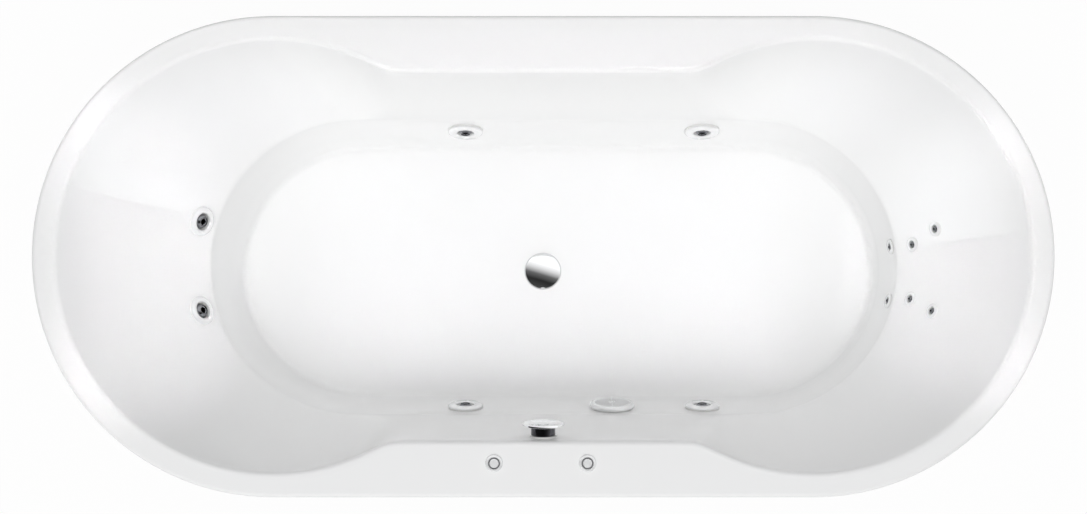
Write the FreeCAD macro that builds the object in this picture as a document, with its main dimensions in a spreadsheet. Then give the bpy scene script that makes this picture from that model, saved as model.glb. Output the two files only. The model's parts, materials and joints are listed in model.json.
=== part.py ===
import FreeCAD, Part
import math
import os
import Sketcher
from FreeCAD import Placement, Rotation, Vector

# Jetted bathtub, drop-in, with a centred waste. Millimetres, +Z up.
# The origin is on the ground under the middle of the rim, +X along the bath, the overflow side faces -Y.

SIZES = {
    # rim and deck
    "bath_length": 1700, "bath_width": 800, "rim_top": 600, "rim_drop": 35,
    "end_deck": 28, "side_deck": 82, "lip_round": 11, "rim_round": 7,
    # sheet thicknesses of the shell and of the reinforcement under it
    "acrylic": 6, "laminate_gap": 0.3, "laminate": 4,
    # basin, from the deck down: upper wall, ledge, lower band, floor
    "basin_depth": 430, "ledge_depth": 295, "ledge_round": 12, "side_bow": 0.85,
    "ledge_side_inset": 126, "ledge_left_inset": 231, "ledge_right_inset": 191,
    "floor_side_inset": 160, "floor_left_inset": 269, "floor_right_inset": 212, "floor_round": 16,
    "fitting_clear": 0.3, "shell_hole_clear": 0.5, "laminate_hole_clear": 1, "hole_reach": 40,
    # how far cutting solids run past what they cut, and the small overlap of joined ones
    "cut_reach": 60, "cut_over": 1, "body_bevel": 3,
    # base board and steel frame
    "board_thick": 18, "board_margin": 34, "waste_opening": 100,
    "rail_wide": 30, "rail_tall": 40, "rail_wall": 2, "rail_spacing": 300, "rail_end_inset": 50,
    "rail_right_inset": 190, "cross_wide": 30, "cross_tall": 30,
    "post_wide": 25, "post_wall": 2, "post_setback": 27.5, "post_bottom": 58,
    "cross_left": 500, "cross_middle": 45, "cross_right": 500, "socket_tall": 50, "post_reach": 235,
    # levelling feet
    "spindle_dia": 12, "spindle_clear": 0.08, "bush_tall": 22, "foot_dia": 44, "foot_tall": 9,
    "foot_screw_length": 118, "foot_nut_across": 19, "foot_nut_tall": 8,
    "foot_rim_tall": 5.4, "foot_slope": 8, "screw_bevel": 1.5,
    # waste
    "waste_flange_dia": 72, "waste_flange_thick": 1.6, "waste_neck_dia": 44, "waste_wall": 3,
    "waste_neck_length": 40, "flange_bevel": 1, "spoke_thick": 3, "spoke_tall": 8, "boss_tall": 14,
    "plug_dia": 68, "plug_dome": 5, "plug_edge": 2.4, "plug_edge_bevel": 1, "plug_rest_gap": 2.2,
    "plug_stem_dia": 8, "plug_stem_length": 46, "plug_seal_dia": 50, "plug_seal_thick": 1.6,
    "plug_seal_clear": 0.3, "waste_port_reach": 14,
    "waste_body_dia": 52, "waste_collar_dia": 84, "waste_collar_tall": 6, "waste_port_height": 84,
    "trap_dia": 90, "trap_bottom": 12, "trap_tall": 50, "trap_outlet_dia": 40, "trap_outlet_reach": 200,
    "trap_outlet_height": 38, "trap_outlet_sink": 8, "trap_spigot": 60, "trap_bevel": 6,
    # overflow with its rotary knob
    "overflow_depth": 38, "overflow_centre": 0, "overflow_plate_dia": 46, "overflow_plate_thick": 3,
    "overflow_plate_sink": 2, "knob_dia": 70, "knob_face_thick": 4.5, "knob_face_bevel": 1.2,
    "knob_reach": 24, "knob_body_dia": 41, "knob_gap": 0.5, "knob_shaft_dia": 8, "knob_shaft_sink": 4,
    "overflow_neck_dia": 34, "overflow_neck_clear": 0.2, "overflow_body_dia": 48, "overflow_body_deep": 34,
    "overflow_spout_length": 38, "cable_socket_length": 32,
    "hose_dia": 24, "hose_wall": 2.5, "hose_outset": 6, "hose_knee_depth": 190, "hose_straight": 30,
    "cable_dia": 6, "cable_offset": 26, "cable_top_offset": 19.5, "cable_port_offset": 15.6,
    "cable_socket_wall": 2, "cable_port_rise": 22, "cable_port_reach": 10, "cable_lead": 24,
    "cable_bend": 30, "pipe_bend": 60,
    # jets on the long walls and at the left end
    "jet_left": 147, "jet_right": 302, "jet_depth": 352, "foot_jet_depth": 262, "foot_jet_spacing": 165,
    "jet_flange_dia": 66, "foot_jet_flange_dia": 54, "jet_flange_thick": 3.2, "jet_neck_dia": 38,
    "jet_bore_dia": 30.4, "jet_neck_length": 34, "jet_chamber_dia": 42, "jet_chamber_length": 42,
    "foot_spigot": 12, "flange_root": 4, "chamber_bevel": 2, "chamber_floor": 4,
    "air_port_inset": 2, "air_port_wall": 1, "nut_grip": 4, "nut_washer": 3,
    "jet_ring_gap": 0.3, "jet_ring_thick": 6, "jet_ring_bore": 32, "ring_edge_tall": 1.5,
    "ring_slope": 5, "ring_bore_bevel": 2,
    "eyeball_dia": 29.6, "eyeball_sink": 4.4, "eyeball_spout_dia": 17, "eyeball_spout": 8.6,
    "eyeball_bore": 11, "nut_dia": 60, "nut_thick": 10, "nut_seat": 1.0, "thread_clear": 0.3,
    # small jets at the right end
    "micro_flange_dia": 28, "micro_flange_thick": 2.6, "micro_neck_dia": 17, "micro_bore_dia": 13.6,
    "micro_length": 37, "micro_ball_dia": 13, "micro_ball_sink": 2.6, "micro_spout_dia": 7.6,
    "micro_spout": 4.6, "micro_bore": 4, "micro_nut_dia": 30, "micro_nut_thick": 5.5,
    "micro_flange_root": 3, "micro_flange_bevel": 1, "micro_flange_slope": 1.5, "micro_floor": 3,
    "stub_socket_wall": 1.5,
    "micro_low_depth": 322, "micro_mid_depth": 254, "micro_high_depth": 196,
    "micro_low_spacing": 102, "micro_mid_spacing": 100, "micro_high_spacing": 148, "micro_middle": -11,
    # suction fitting
    "suction_place": 131, "suction_dia": 84, "suction_flange_dia": 78, "suction_flange_thick": 3,
    "suction_cover_thick": 9, "suction_neck_dia": 52, "suction_body_dia": 64, "suction_body_deep": 70,
    "suction_axis_setback": 42, "suction_pipe_dia": 50, "suction_pipe_wall": 3,
    "suction_outlet_reach": 12, "suction_screw_dia": 8, "suction_screw_deep": 18,
    "suction_thread_deep": 24, "screw_thread_clear": 0.1, "screw_boss_wall": 2,
    "screw_head_tall": 2, "screw_head_bevel": 0.8, "cover_face_thick": 3, "cover_rim_wide": 8,
    "cover_edge_tall": 2, "cover_slope": 5, "grille_slot": 3, "grille_pitch": 6.4, "grille_margin": 9,
    # pipework
    "water_dia": 32, "water_wall": 2.5, "water_height": 310, "air_dia": 14, "air_wall": 1.5,
    "air_height": 356, "air_drop_dia": 8, "riser_dia": 25, "riser_setback": 28,
    "riser_feed_height": 306, "branch_dia": 25, "basin_rise": 12,
    "stub_dia": 10, "micro_port": 16, "socket_wall": 3, "socket_length": 22,
    "manifold_gap": 4, "manifold_overhang": 28.8, "line_corner": 10, "line_corner_run": 70,
    "line_bend": 70, "line_overrun": 34, "riser_foot_extra": 16, "riser_head_extra": 22, "riser_cap": 3,
    "riser_socket": 8, "riser_socket_wall": 2, "branch_start": 34, "branch_offset": 12,
    "branch_turn_y": 178, "branch_near_y": 74, "suction_line_lift": 6, "suction_line_lead": 76,
    "air_overrun": 20, "air_corner": 20, "air_middle_x": 48, "air_middle_y": 46, "air_bend": 120,
    "air_inlet_dia": 10, "inlet_straight": 50, "inlet_knee": 110,
    "signal_straight": 58, "signal_knee": 118, "signal_outset": 10, "signal_drop": 6,
    "signal_fall": 56, "signal_port_inset": 9,
    # pump
    "pump_inset": 100, "pump_height": 214, "motor_dia": 116, "motor_length": 190, "volute_dia": 112,
    "volute_wide": 46, "volute_wall": 5, "shaft_dia": 14, "shaft_clear": 0.06,
    "impeller_dia": 96, "impeller_wide": 12, "fan_dia": 96, "fan_wide": 16, "fan_cover_deep": 36,
    "fan_cover_wall": 2, "fan_cover_bevel": 8, "fan_cover_turn": 9, "fan_gap": 6, "vent_dia": 8,
    "vent_reach": 12, "vent_ring_inner": 16, "vent_ring_outer": 32,
    "shelf_thick": 6, "shelf_long": 110, "shelf_wide": 330, "snout_length": 20,
    "volute_bevel": 6, "volute_outlet_sink": 9.5, "volute_socket": 3, "motor_wall": 5, "motor_end_wall": 6,
    "motor_foot_wide": 96, "motor_foot_long": 114, "motor_foot_tall": 29, "motor_foot_start": 38,
    "stator_inset": 36, "rotor_inset": 40, "rotor_air_gap": 1, "rotor_core_dia": 60, "long_cut": 400,
    "mount_dia": 24, "mount_tall": 9, "mount_spread": 33.6, "mount_inset": 17.1,
    # controls on the deck and the switch box that they work
    "button_spacing": 155, "button_middle": -4, "button_setback": 57, "bezel_dia": 29,
    "bezel_rise": 4, "well_dia": 20, "cap_dia": 15, "cap_rise": 5,
    "button_neck_dia": 24, "button_neck_length": 34, "tube_dia": 6,
    "button_tail": 8, "button_taper": 4, "tail_wall": 2, "bezel_edge": 1.5, "bezel_slope": 2,
    "well_sink": 1, "cap_deep": 16, "cap_bore_deep": 22, "cap_bevel": 1, "notch_wide": 1.2,
    "notch_deep": 0.8, "box_long": 90, "box_wide": 46, "box_tall": 70, "box_height": 205,
    "gland_dia": 20, "gland_length": 18, "gland_wall": 5, "gland_inset": 20, "gland_setback": 11,
}

doc = FreeCAD.newDocument("jetted_bathtub")
sheet = doc.addObject("Spreadsheet::Sheet", "Sizes")
for row, (name, value) in enumerate(SIZES.items(), 1):
    sheet.set("A%d" % row, name)
    sheet.set("B%d" % row, str(value))
    sheet.setAlias("B%d" % row, name)
doc.recompute()


def size(name):
    return float(sheet.get(name))


def number(expression):
    """the value of an expression of sheet names"""
    value = sheet.evalExpression(expression)
    return float(getattr(value, "Value", value))


subparts = []


def keep(thing, label):
    """names a sub-part that is written out"""
    thing.Label = label
    subparts.append(thing)
    return thing


# ---- building blocks ----------------------------------------------------------------------------

def origin_feature(body, role):
    return [item for item in body.Origin.OriginFeatures if item.Role == role][0]


def closed_outline(body, name, plane, corners):
    """sketch of straight lines through the corners, each coordinate tied to the sheet"""
    sketch = body.newObject("Sketcher::SketchObject", name)
    sketch.AttachmentSupport = (origin_feature(body, plane), [""])
    sketch.MapMode = "FlatFace"
    places = [Vector(number(across), number(up), 0) for across, up in corners]
    count = len(places)
    for i in range(count):
        sketch.addGeometry(Part.LineSegment(places[i], places[(i + 1) % count]), False)
    for i in range(count):
        sketch.addConstraint(Sketcher.Constraint("Coincident", i, 2, (i + 1) % count, 1))
    for i, (across, up) in enumerate(corners):
        for kind, expression, value, axis in (("DistanceX", across, places[i].x, -2),
                                              ("DistanceY", up, places[i].y, -1)):
            if expression == "0":
                sketch.addConstraint(Sketcher.Constraint("PointOnObject", i, 1, axis))
            else:
                index = sketch.addConstraint(Sketcher.Constraint(kind, -1, 1, i, 1, value))
                sketch.setExpression("Constraints[%d]" % index, expression)
    return sketch


def turned(label, corners, place=None):
    """body of revolution about its own z axis, corners are (radius, height)"""
    body = doc.addObject("PartDesign::Body", label)
    outline = closed_outline(body, label + "_outline", "XZ_Plane", corners)
    turn = body.newObject("PartDesign::Revolution", label + "_turn")
    turn.Profile = outline
    turn.ReferenceAxis = (outline, ["V_Axis"])
    turn.Angle = 360
    body.Tip = turn
    body.Label = label
    if place is not None:
        body.Placement = place
    return body


def rounded(body, radius, chosen):
    """fillet on the edges of the body's tip that the test picks, in the body's own frame"""
    doc.recompute()
    base = body.Tip
    names = ["Edge%d" % (i + 1) for i, edge in enumerate(base.Shape.Edges) if chosen(edge)]
    fillet = body.newObject("PartDesign::Fillet", body.Name + "_round")
    fillet.Base = (base, names)
    fillet.Radius = number(radius)
    fillet.setExpression("Radius", radius)
    body.Tip = fillet
    doc.recompute()
    return body


def ring_edge(radius, height):
    """test for a round edge of that radius at that height"""
    wanted = number(radius)
    level = number(height)

    def chosen(edge):
        box = edge.BoundBox
        return (abs(box.ZMax - level) < 0.01 and abs(box.ZMin - level) < 0.01
                and abs(max(box.XMax, box.YMax) - wanted) < 0.05)
    return chosen


def bind(thing, **expressions):
    for prop, expression in expressions.items():
        thing.setExpression(prop, expression)
    return thing


def rod(label, radius, length, place=None):
    """cylinder tied to the sheet"""
    thing = bind(doc.addObject("Part::Cylinder", label), Radius=radius, Height=length)
    if place is not None:
        thing.Placement = place
    return thing


def block(label, long, wide, tall, place=None):
    """box tied to the sheet"""
    thing = bind(doc.addObject("Part::Box", label), Length=long, Width=wide, Height=tall)
    if place is not None:
        thing.Placement = place
    return thing


def joined(label, things):
    fuse = doc.addObject("Part::MultiFuse", label)
    fuse.Shapes = things
    fuse.Refine = True
    return fuse


def less(label, thing, tools):
    """the thing with the tools cut away"""
    cut = doc.addObject("Part::Cut", label)
    cut.Base = thing
    cut.Tool = tools[0] if len(tools) == 1 else joined(label + "_tools", tools)
    return cut


def shared(label, thing, limit):
    common = doc.addObject("Part::Common", label)
    common.Base = thing
    common.Tool = limit
    return common


def together(label, things):
    """one node of several separate solids"""
    group = doc.addObject("Part::Compound", label)
    group.Links = things
    return keep(group, label)


def formed(label, shape):
    """sub-part with a free form"""
    thing = doc.addObject("Part::Feature", label)
    thing.Shape = shape
    return thing


def at(x, y, z, rotation=None):
    return Placement(Vector(x, y, z), rotation or Rotation())


def facing(direction, up=Vector(0, 0, 1)):
    """rotation that points local z along the direction and keeps local y as near up as it can"""
    z_axis = Vector(direction).normalize()
    x_axis = Vector(up).cross(z_axis)
    if x_axis.Length < 1e-6:
        x_axis = Vector(1, 0, 0)
    x_axis.normalize()
    return Rotation(x_axis, z_axis.cross(x_axis), z_axis, "ZXY")


def route(points, bend):
    """wire of straight runs joined by tangent arcs, the largest that the runs allow up to bend"""
    edges = []
    start = points[0]
    for i in range(1, len(points) - 1):
        before = points[i - 1] - points[i]
        after = points[i + 1] - points[i]
        half_turn = (math.pi - before.getAngle(after)) / 2
        if half_turn < 0.001:
            continue
        reach = min(bend * math.tan(half_turn), 0.45 * min(before.Length, after.Length))
        radius = reach / math.tan(half_turn)
        before.normalize()
        after.normalize()
        enter = points[i] + before * reach
        leave = points[i] + after * reach
        inward = (before + after).normalize()
        middle = points[i] + inward * (radius / math.cos(half_turn) - radius)
        if (enter - start).Length > 1e-4:
            edges.append(Part.makeLine(start, enter))
        edges.append(Part.Arc(enter, middle, leave).toShape())
        start = leave
    edges.append(Part.makeLine(start, points[-1]))
    return Part.Wire(edges)


def tube(points, outer, wall, bend):
    """pipe along a route, outer is its diameter; a wall of 0 makes it solid"""
    path = route(points, bend)
    heading = (points[1] - points[0]).normalize()
    face = Part.Face(Part.Wire(Part.makeCircle(outer / 2, points[0], heading)))
    if wall:
        bore = Part.Face(Part.Wire(Part.makeCircle(outer / 2 - wall, points[0], heading)))
        face = face.cut(bore).Faces[0]
    pipe = path.makePipe(face)
    expected = face.Area * path.Length
    if abs(pipe.Volume - expected) > 0.02 * expected or not pipe.isValid():
        raise RuntimeError("a pipe differs from its section times its length")
    return pipe.Solids[0] if pipe.Solids else Part.Solid(pipe)


# ---- the basin's form ---------------------------------------------------------------------------

TOP = size("rim_top")
HALF_LONG = size("bath_length") / 2
HALF_WIDE = size("bath_width") / 2


def basin_row(depth):
    """half width of the straight sides, then centre and radius of the left and of the right end"""
    mouth_radius = HALF_WIDE - size("end_deck") - size("lip_round")
    mouth_centre = HALF_LONG - HALF_WIDE
    ledge_radius = HALF_WIDE - size("ledge_side_inset")
    floor_radius = HALF_WIDE - size("floor_side_inset")
    mouth = (HALF_WIDE - size("side_deck") - size("lip_round"),
             -mouth_centre, mouth_radius, mouth_centre, mouth_radius)
    ledge = (ledge_radius, -(HALF_LONG - size("ledge_left_inset") - ledge_radius), ledge_radius,
             HALF_LONG - size("ledge_right_inset") - ledge_radius, ledge_radius)
    floor = (floor_radius, -(HALF_LONG - size("floor_left_inset") - floor_radius), floor_radius,
             HALF_LONG - size("floor_right_inset") - floor_radius, floor_radius)
    ledge_depth = size("ledge_depth")
    basin_depth = size("basin_depth")
    if depth <= ledge_depth:
        share = depth / ledge_depth
        bow = math.copysign(abs(share) ** size("side_bow"), share)
        row = [mouth[0] + (ledge[0] - mouth[0]) * bow]
        row += [a + (b - a) * share for a, b in zip(mouth[1:], ledge[1:])]
    else:
        share = (depth - ledge_depth) / (basin_depth - ledge_depth)
        hollow = (1 - min(share, 1) ** 1.15) ** 0.8
        row = [b + (a - b) * hollow for a, b in zip(ledge, floor)]
    return row


def basin_depths():
    """depths of the sections: even on the upper wall, close at the ledge and towards the floor"""
    ledge = size("ledge_depth")
    deep = size("basin_depth")
    step = size("ledge_round")
    upper = [ledge * i / 5 for i in range(5)]
    near = [ledge - 2 * step, ledge - step / 2, ledge + step / 2, ledge + 2.2 * step]
    band = [ledge + (deep - ledge) * share for share in (0.42, 0.62, 0.78)]
    return upper + near + band


def lean(depth):
    """how far the wall leans back from the vertical, taken as the mean of the sides and the ends"""
    above = basin_row(depth - 1)
    below = basin_row(depth + 1)
    side = above[0] - below[0]
    left = (below[1] - below[2]) - (above[1] - above[2])
    right = (above[3] + above[4]) - (below[3] + below[4])
    end = (left + right) / 2
    return math.atan2((side + end) / 2, 2)


def section(row, level):
    """closed wire of a right arc, a back line, a left arc and a front line"""
    half, left, left_radius, right, right_radius = row
    corners = []
    arcs = []
    for centre, radius, way in ((right, right_radius, 1), (left, left_radius, -1)):
        swing = math.pi - math.asin(min(half / radius, 1))
        x = centre + way * radius * math.cos(swing)
        low = Vector(x, -min(half, radius) * way, level)
        high = Vector(x, min(half, radius) * way, level)
        arcs.append(Part.Arc(low, Vector(centre + way * radius, 0, level), high).toShape())
        corners += [low, high]
    back = Part.makeLine(corners[1], corners[2])
    front = Part.makeLine(corners[3], corners[0])
    return Part.Wire([arcs[0], back, arcs[1], front])


def basin(offset, rise=0):
    """solid of the basin's form, grown outwards by the offset, with a rise above the deck"""
    rows = []
    for depth in [-rise] * (rise > 0) + basin_depths():
        angle = lean(depth)
        row = basin_row(depth)
        grow = offset * math.cos(angle)
        row = [row[0] + grow, row[1], row[2] + grow, row[3], row[4] + grow]
        rows.append((row, TOP - depth - offset * math.sin(angle)))
    # rounding into the floor
    turn = size("floor_round")
    start = math.radians(38)
    floor_row = basin_row(size("basin_depth"))
    for part in range(4):
        angle = start + (math.pi / 2 - start) * part / 3
        drop = turn * (1 - math.sin(angle))
        inset = turn * (math.cos(angle) - 1) + offset * math.cos(angle) + turn * 0.4
        row = [floor_row[0] + inset, floor_row[1], floor_row[2] + inset, floor_row[3], floor_row[4] + inset]
        rows.append((row, TOP - size("basin_depth") + drop - offset * math.sin(angle)))
    return Part.makeLoft([section(row, level) for row, level in rows], True, False)


def stadium(length, width, bottom, height):
    """flat slab with round ends"""
    radius = width / 2
    centre = length / 2 - radius
    front = Part.makeLine(Vector(-centre, -radius, bottom), Vector(centre, -radius, bottom))
    right = Part.Arc(Vector(centre, -radius, bottom), Vector(centre + radius, 0, bottom),
                     Vector(centre, radius, bottom)).toShape()
    back = Part.makeLine(Vector(centre, radius, bottom), Vector(-centre, radius, bottom))
    left = Part.Arc(Vector(-centre, radius, bottom), Vector(-centre - radius, 0, bottom),
                    Vector(-centre, -radius, bottom)).toShape()
    return Part.Face(Part.Wire([front, right, back, left])).extrude(Vector(0, 0, height))


def wall_place(where, across, depth):
    """placement on the basin's inner wall: local z points into the basin, local y up the wall"""
    def spot(along, down):
        half, left, left_radius, right, right_radius = basin_row(down)
        if where == "front":
            return Vector(along, -half, TOP - down)
        if where == "back":
            return Vector(along, half, TOP - down)
        if where == "left":
            return Vector(left - math.sqrt(left_radius ** 2 - along ** 2), along, TOP - down)
        return Vector(right + math.sqrt(right_radius ** 2 - along ** 2), along, TOP - down)

    point = spot(across, depth)
    upward = spot(across, depth - 4) - spot(across, depth + 4)
    sideways = spot(across + 1, depth) - spot(across - 1, depth)
    inward = upward.cross(sideways).normalize()
    if inward.dot(Vector(0, 0, point.z) - point) < 0:
        inward = inward * -1
    return Placement(point, facing(inward))


def beyond(place, distance):
    """point on a fitting's axis, a distance behind the wall"""
    return place.multVec(Vector(0, 0, -distance))


def moved(place, x=0, y=0, z=0):
    """the same frame shifted along its own axes"""
    return Placement(place.multVec(Vector(x, y, z)), place.Rotation)


# ---- where every fitting sits -------------------------------------------------------------------

wall_total = size("acrylic") + size("laminate_gap") + size("laminate")
floor_level = TOP - size("basin_depth")
hull_bottom = floor_level - wall_total
board_bottom = hull_bottom - size("board_thick")
rail_bottom = board_bottom - size("rail_tall")

jet_places = [wall_place("front", -size("jet_left"), size("jet_depth")),
              wall_place("front", size("jet_right"), size("jet_depth")),
              wall_place("back", size("jet_right"), size("jet_depth")),
              wall_place("back", -size("jet_left"), size("jet_depth")),
              wall_place("left", size("foot_jet_spacing") / 2, size("foot_jet_depth")),
              wall_place("left", -size("foot_jet_spacing") / 2, size("foot_jet_depth"))]
foot_jets = (4, 5)

micro_places = []
for level in ("low", "mid", "high"):
    for side in (-1, 1):
        across = size("micro_middle") + side * size("micro_%s_spacing" % level) / 2
        micro_places.append(wall_place("right", across, size("micro_%s_depth" % level)))

suction_place = wall_place("front", size("suction_place"), size("jet_depth"))
overflow_place = wall_place("front", size("overflow_centre"), size("overflow_depth"))
waste_place = at(0, 0, floor_level)
button_y = -(HALF_WIDE - size("button_setback"))
button_places = [at(size("button_middle") + side * size("button_spacing") / 2, button_y, TOP)
                 for side in (-1, 1)]


# ---- shell, reinforcement and base board --------------------------------------------------------

cavity = basin(0, size("basin_rise"))
cavity_clear = formed("cavity_clear", basin(-size("fitting_clear"), size("basin_rise")))


def wall_holes(clear):
    """cylinders through the wall for every fitting"""
    holes = []
    reach = size("hole_reach")

    def hole(place, diameter):
        axis = place.Rotation.multVec(Vector(0, 0, 1))
        holes.append(Part.makeCylinder(diameter / 2 + clear, 2 * reach, beyond(place, reach), axis))

    for place in jet_places:
        hole(place, size("jet_neck_dia"))
    for place in micro_places:
        hole(place, size("micro_neck_dia"))
    hole(suction_place, size("suction_neck_dia"))
    hole(overflow_place, size("overflow_neck_dia"))
    hole(waste_place, size("waste_neck_dia"))
    for place in button_places:
        hole(place, size("button_neck_dia"))
    return holes


def make_shell():
    """one formed acrylic sheet: deck with a short skirt, and the basin"""
    skin = size("acrylic")
    rim = stadium(2 * HALF_LONG, 2 * HALF_WIDE, TOP - size("rim_drop"), size("rim_drop"))
    rim = rim.makeFillet(size("rim_round"), [edge for edge in rim.Edges if edge.BoundBox.ZMin > TOP - 0.01])
    inside = stadium(2 * (HALF_LONG - skin), 2 * (HALF_WIDE - skin), TOP - size("rim_drop"),
                     size("rim_drop") - skin)
    above = Part.makeBox(2 * HALF_LONG, 2 * HALF_WIDE, size("cut_reach"),
                         Vector(-HALF_LONG, -HALF_WIDE, TOP - skin / 2))
    hull = basin(skin, size("basin_rise")).cut(above)
    solid = rim.cut(inside).fuse(hull).cut(cavity)
    inner = [edge for edge in solid.Edges
             if abs(edge.BoundBox.ZMin - TOP) < 0.01 and abs(edge.BoundBox.ZMax - TOP) < 0.01
             and edge.BoundBox.YMax < HALF_WIDE - size("end_deck") + 1
             and edge.BoundBox.XMax < HALF_LONG - size("end_deck") + 1
             and edge.BoundBox.XMin > -HALF_LONG + size("end_deck") - 1
             and edge.BoundBox.YMin > -HALF_WIDE + size("end_deck") - 1]
    solid = solid.makeFillet(size("lip_round"), inner)
    return solid.cut(wall_holes(size("shell_hole_clear"))).Solids[0]


def make_laminate():
    """fibreglass skin under the deck and round the basin"""
    skin = size("acrylic") + size("laminate_gap")
    under = TOP - skin
    flange = stadium(2 * (HALF_LONG - skin), 2 * (HALF_WIDE - skin), under - size("laminate"),
                     size("laminate"))
    hull = basin(skin + size("laminate"), size("basin_rise"))
    above = Part.makeBox(2 * HALF_LONG, 2 * HALF_WIDE, size("cut_reach"),
                         Vector(-HALF_LONG, -HALF_WIDE, under))
    solid = hull.cut(above).fuse(flange).cut(basin(skin, size("basin_rise")))
    return solid.cut(wall_holes(size("laminate_hole_clear"))).Solids[0]


keep(formed("acrylic_shell", make_shell()), "acrylic_shell")
keep(formed("fibreglass_backing", make_laminate()), "fibreglass_backing")


def make_board():
    """plywood under the flat of the floor, open round the waste"""
    floor_row = basin_row(size("basin_depth"))
    left = floor_row[1] - floor_row[2] + size("board_margin")
    right = floor_row[3] + floor_row[4] - size("board_margin")
    radius = floor_row[0] - size("board_margin")
    slab = stadium(right - left, 2 * radius, board_bottom, size("board_thick"))
    slab.translate(Vector((left + right) / 2, 0, 0))
    opening = Part.makeCylinder(size("waste_opening") / 2, size("cut_reach"),
                                Vector(0, 0, board_bottom - size("cut_over")))
    return slab.cut(opening)


keep(formed("base_board", make_board()), "base_board")


# ---- steel frame --------------------------------------------------------------------------------

def square_tube(label, long, wide, tall, wall, place):
    """hollow section along x, its low corner at the placement"""
    outer = block(label + "_outside", long, wide, tall, place)
    inner = block(label + "_bore", "%s + 2 * Sizes.cut_over" % long, "%s - 2 * %s" % (wide, wall),
                  "%s - 2 * %s" % (tall, wall))
    inner.Placement = moved(place, -size("cut_over"), number(wall), number(wall))
    return less(label, outer, [inner])


def make_frame():
    """two long rails on three cross members"""
    bars = []
    left = -(HALF_LONG - size("rail_end_inset"))
    for side in (-1, 1):
        y = side * size("rail_spacing") / 2 - size("rail_wide") / 2
        bars.append(square_tube("rail_%s" % ("front" if side < 0 else "back"),
                                "Sizes.bath_length - Sizes.rail_end_inset - Sizes.rail_right_inset",
                                "Sizes.rail_wide", "Sizes.rail_tall", "Sizes.rail_wall",
                                at(left, y, rail_bottom)))
    for name, x in cross_places().items():
        span = "Sizes.bath_width - 2 * Sizes.post_setback - 2 * Sizes.post_wide"
        place = at(x + size("cross_wide") / 2, -number(span) / 2, rail_bottom - size("cross_tall"),
                   Rotation(Vector(0, 0, 1), 90))
        bars.append(square_tube("cross_" + name, span, "Sizes.cross_wide", "Sizes.cross_tall",
                                "Sizes.rail_wall", place))
    return bars


def cross_places():
    return {"left": -size("cross_left"), "middle": -size("cross_middle"), "right": size("cross_right")}


together("base_frame", make_frame())

post_middle = HALF_WIDE - size("post_setback") - size("post_wide") / 2
post_top = TOP - wall_total
post_places = [(x, side * post_middle) for x in cross_places().values() for side in (-1, 1)]


def make_posts():
    """two tall posts under the deck and four short ones, each with a foot's bush in its lower end"""
    posts = []
    long_post = "Sizes.rim_top - Sizes.acrylic - Sizes.laminate_gap - Sizes.laminate - Sizes.post_bottom"
    half = size("post_wide") / 2
    inner_wide = "Sizes.post_wide - 2 * Sizes.post_wall"
    for i, (x, y) in enumerate(post_places, 1):
        tall = long_post if abs(x) < size("post_reach") else "Sizes.socket_tall"
        outer = block("post_%d_outside" % i, "Sizes.post_wide", "Sizes.post_wide", tall,
                      at(x - half, y - half, size("post_bottom")))
        bore = block("post_%d_bore" % i, inner_wide, inner_wide, "%s - Sizes.bush_tall" % tall,
                     at(x - half + size("post_wall"), y - half + size("post_wall"),
                        size("post_bottom") + size("bush_tall")))
        thread = rod("post_%d_thread" % i, "Sizes.spindle_dia / 2 + Sizes.spindle_clear",
                     "Sizes.bush_tall + 2 * Sizes.cut_over",
                     at(x, y, size("post_bottom") - size("cut_over")))
        posts.append(less("post_%d" % i, outer, [bore, thread]))
    return posts


together("rim_posts", make_posts())

for i, (x, y) in enumerate(post_places, 1):
    foot = turned("leveling_foot_%d" % i, [
        ("0", "0"),
        ("Sizes.foot_dia / 2", "0"),
        ("Sizes.foot_dia / 2", "Sizes.foot_rim_tall"),
        ("Sizes.foot_dia / 2 - Sizes.foot_slope", "Sizes.foot_tall"),
        ("Sizes.foot_nut_across / 2", "Sizes.foot_tall"),
        ("Sizes.foot_nut_across / 2", "Sizes.foot_tall + Sizes.foot_nut_tall"),
        ("Sizes.spindle_dia / 2", "Sizes.foot_tall + Sizes.foot_nut_tall"),
        ("Sizes.spindle_dia / 2", "Sizes.foot_screw_length - Sizes.screw_bevel"),
        ("Sizes.spindle_dia / 2 - Sizes.screw_bevel", "Sizes.foot_screw_length"),
        ("0", "Sizes.foot_screw_length")], at(x, y, 0))
    keep(foot, "leveling_foot_%d" % i)


# ---- waste and trap -----------------------------------------------------------------------------

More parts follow.
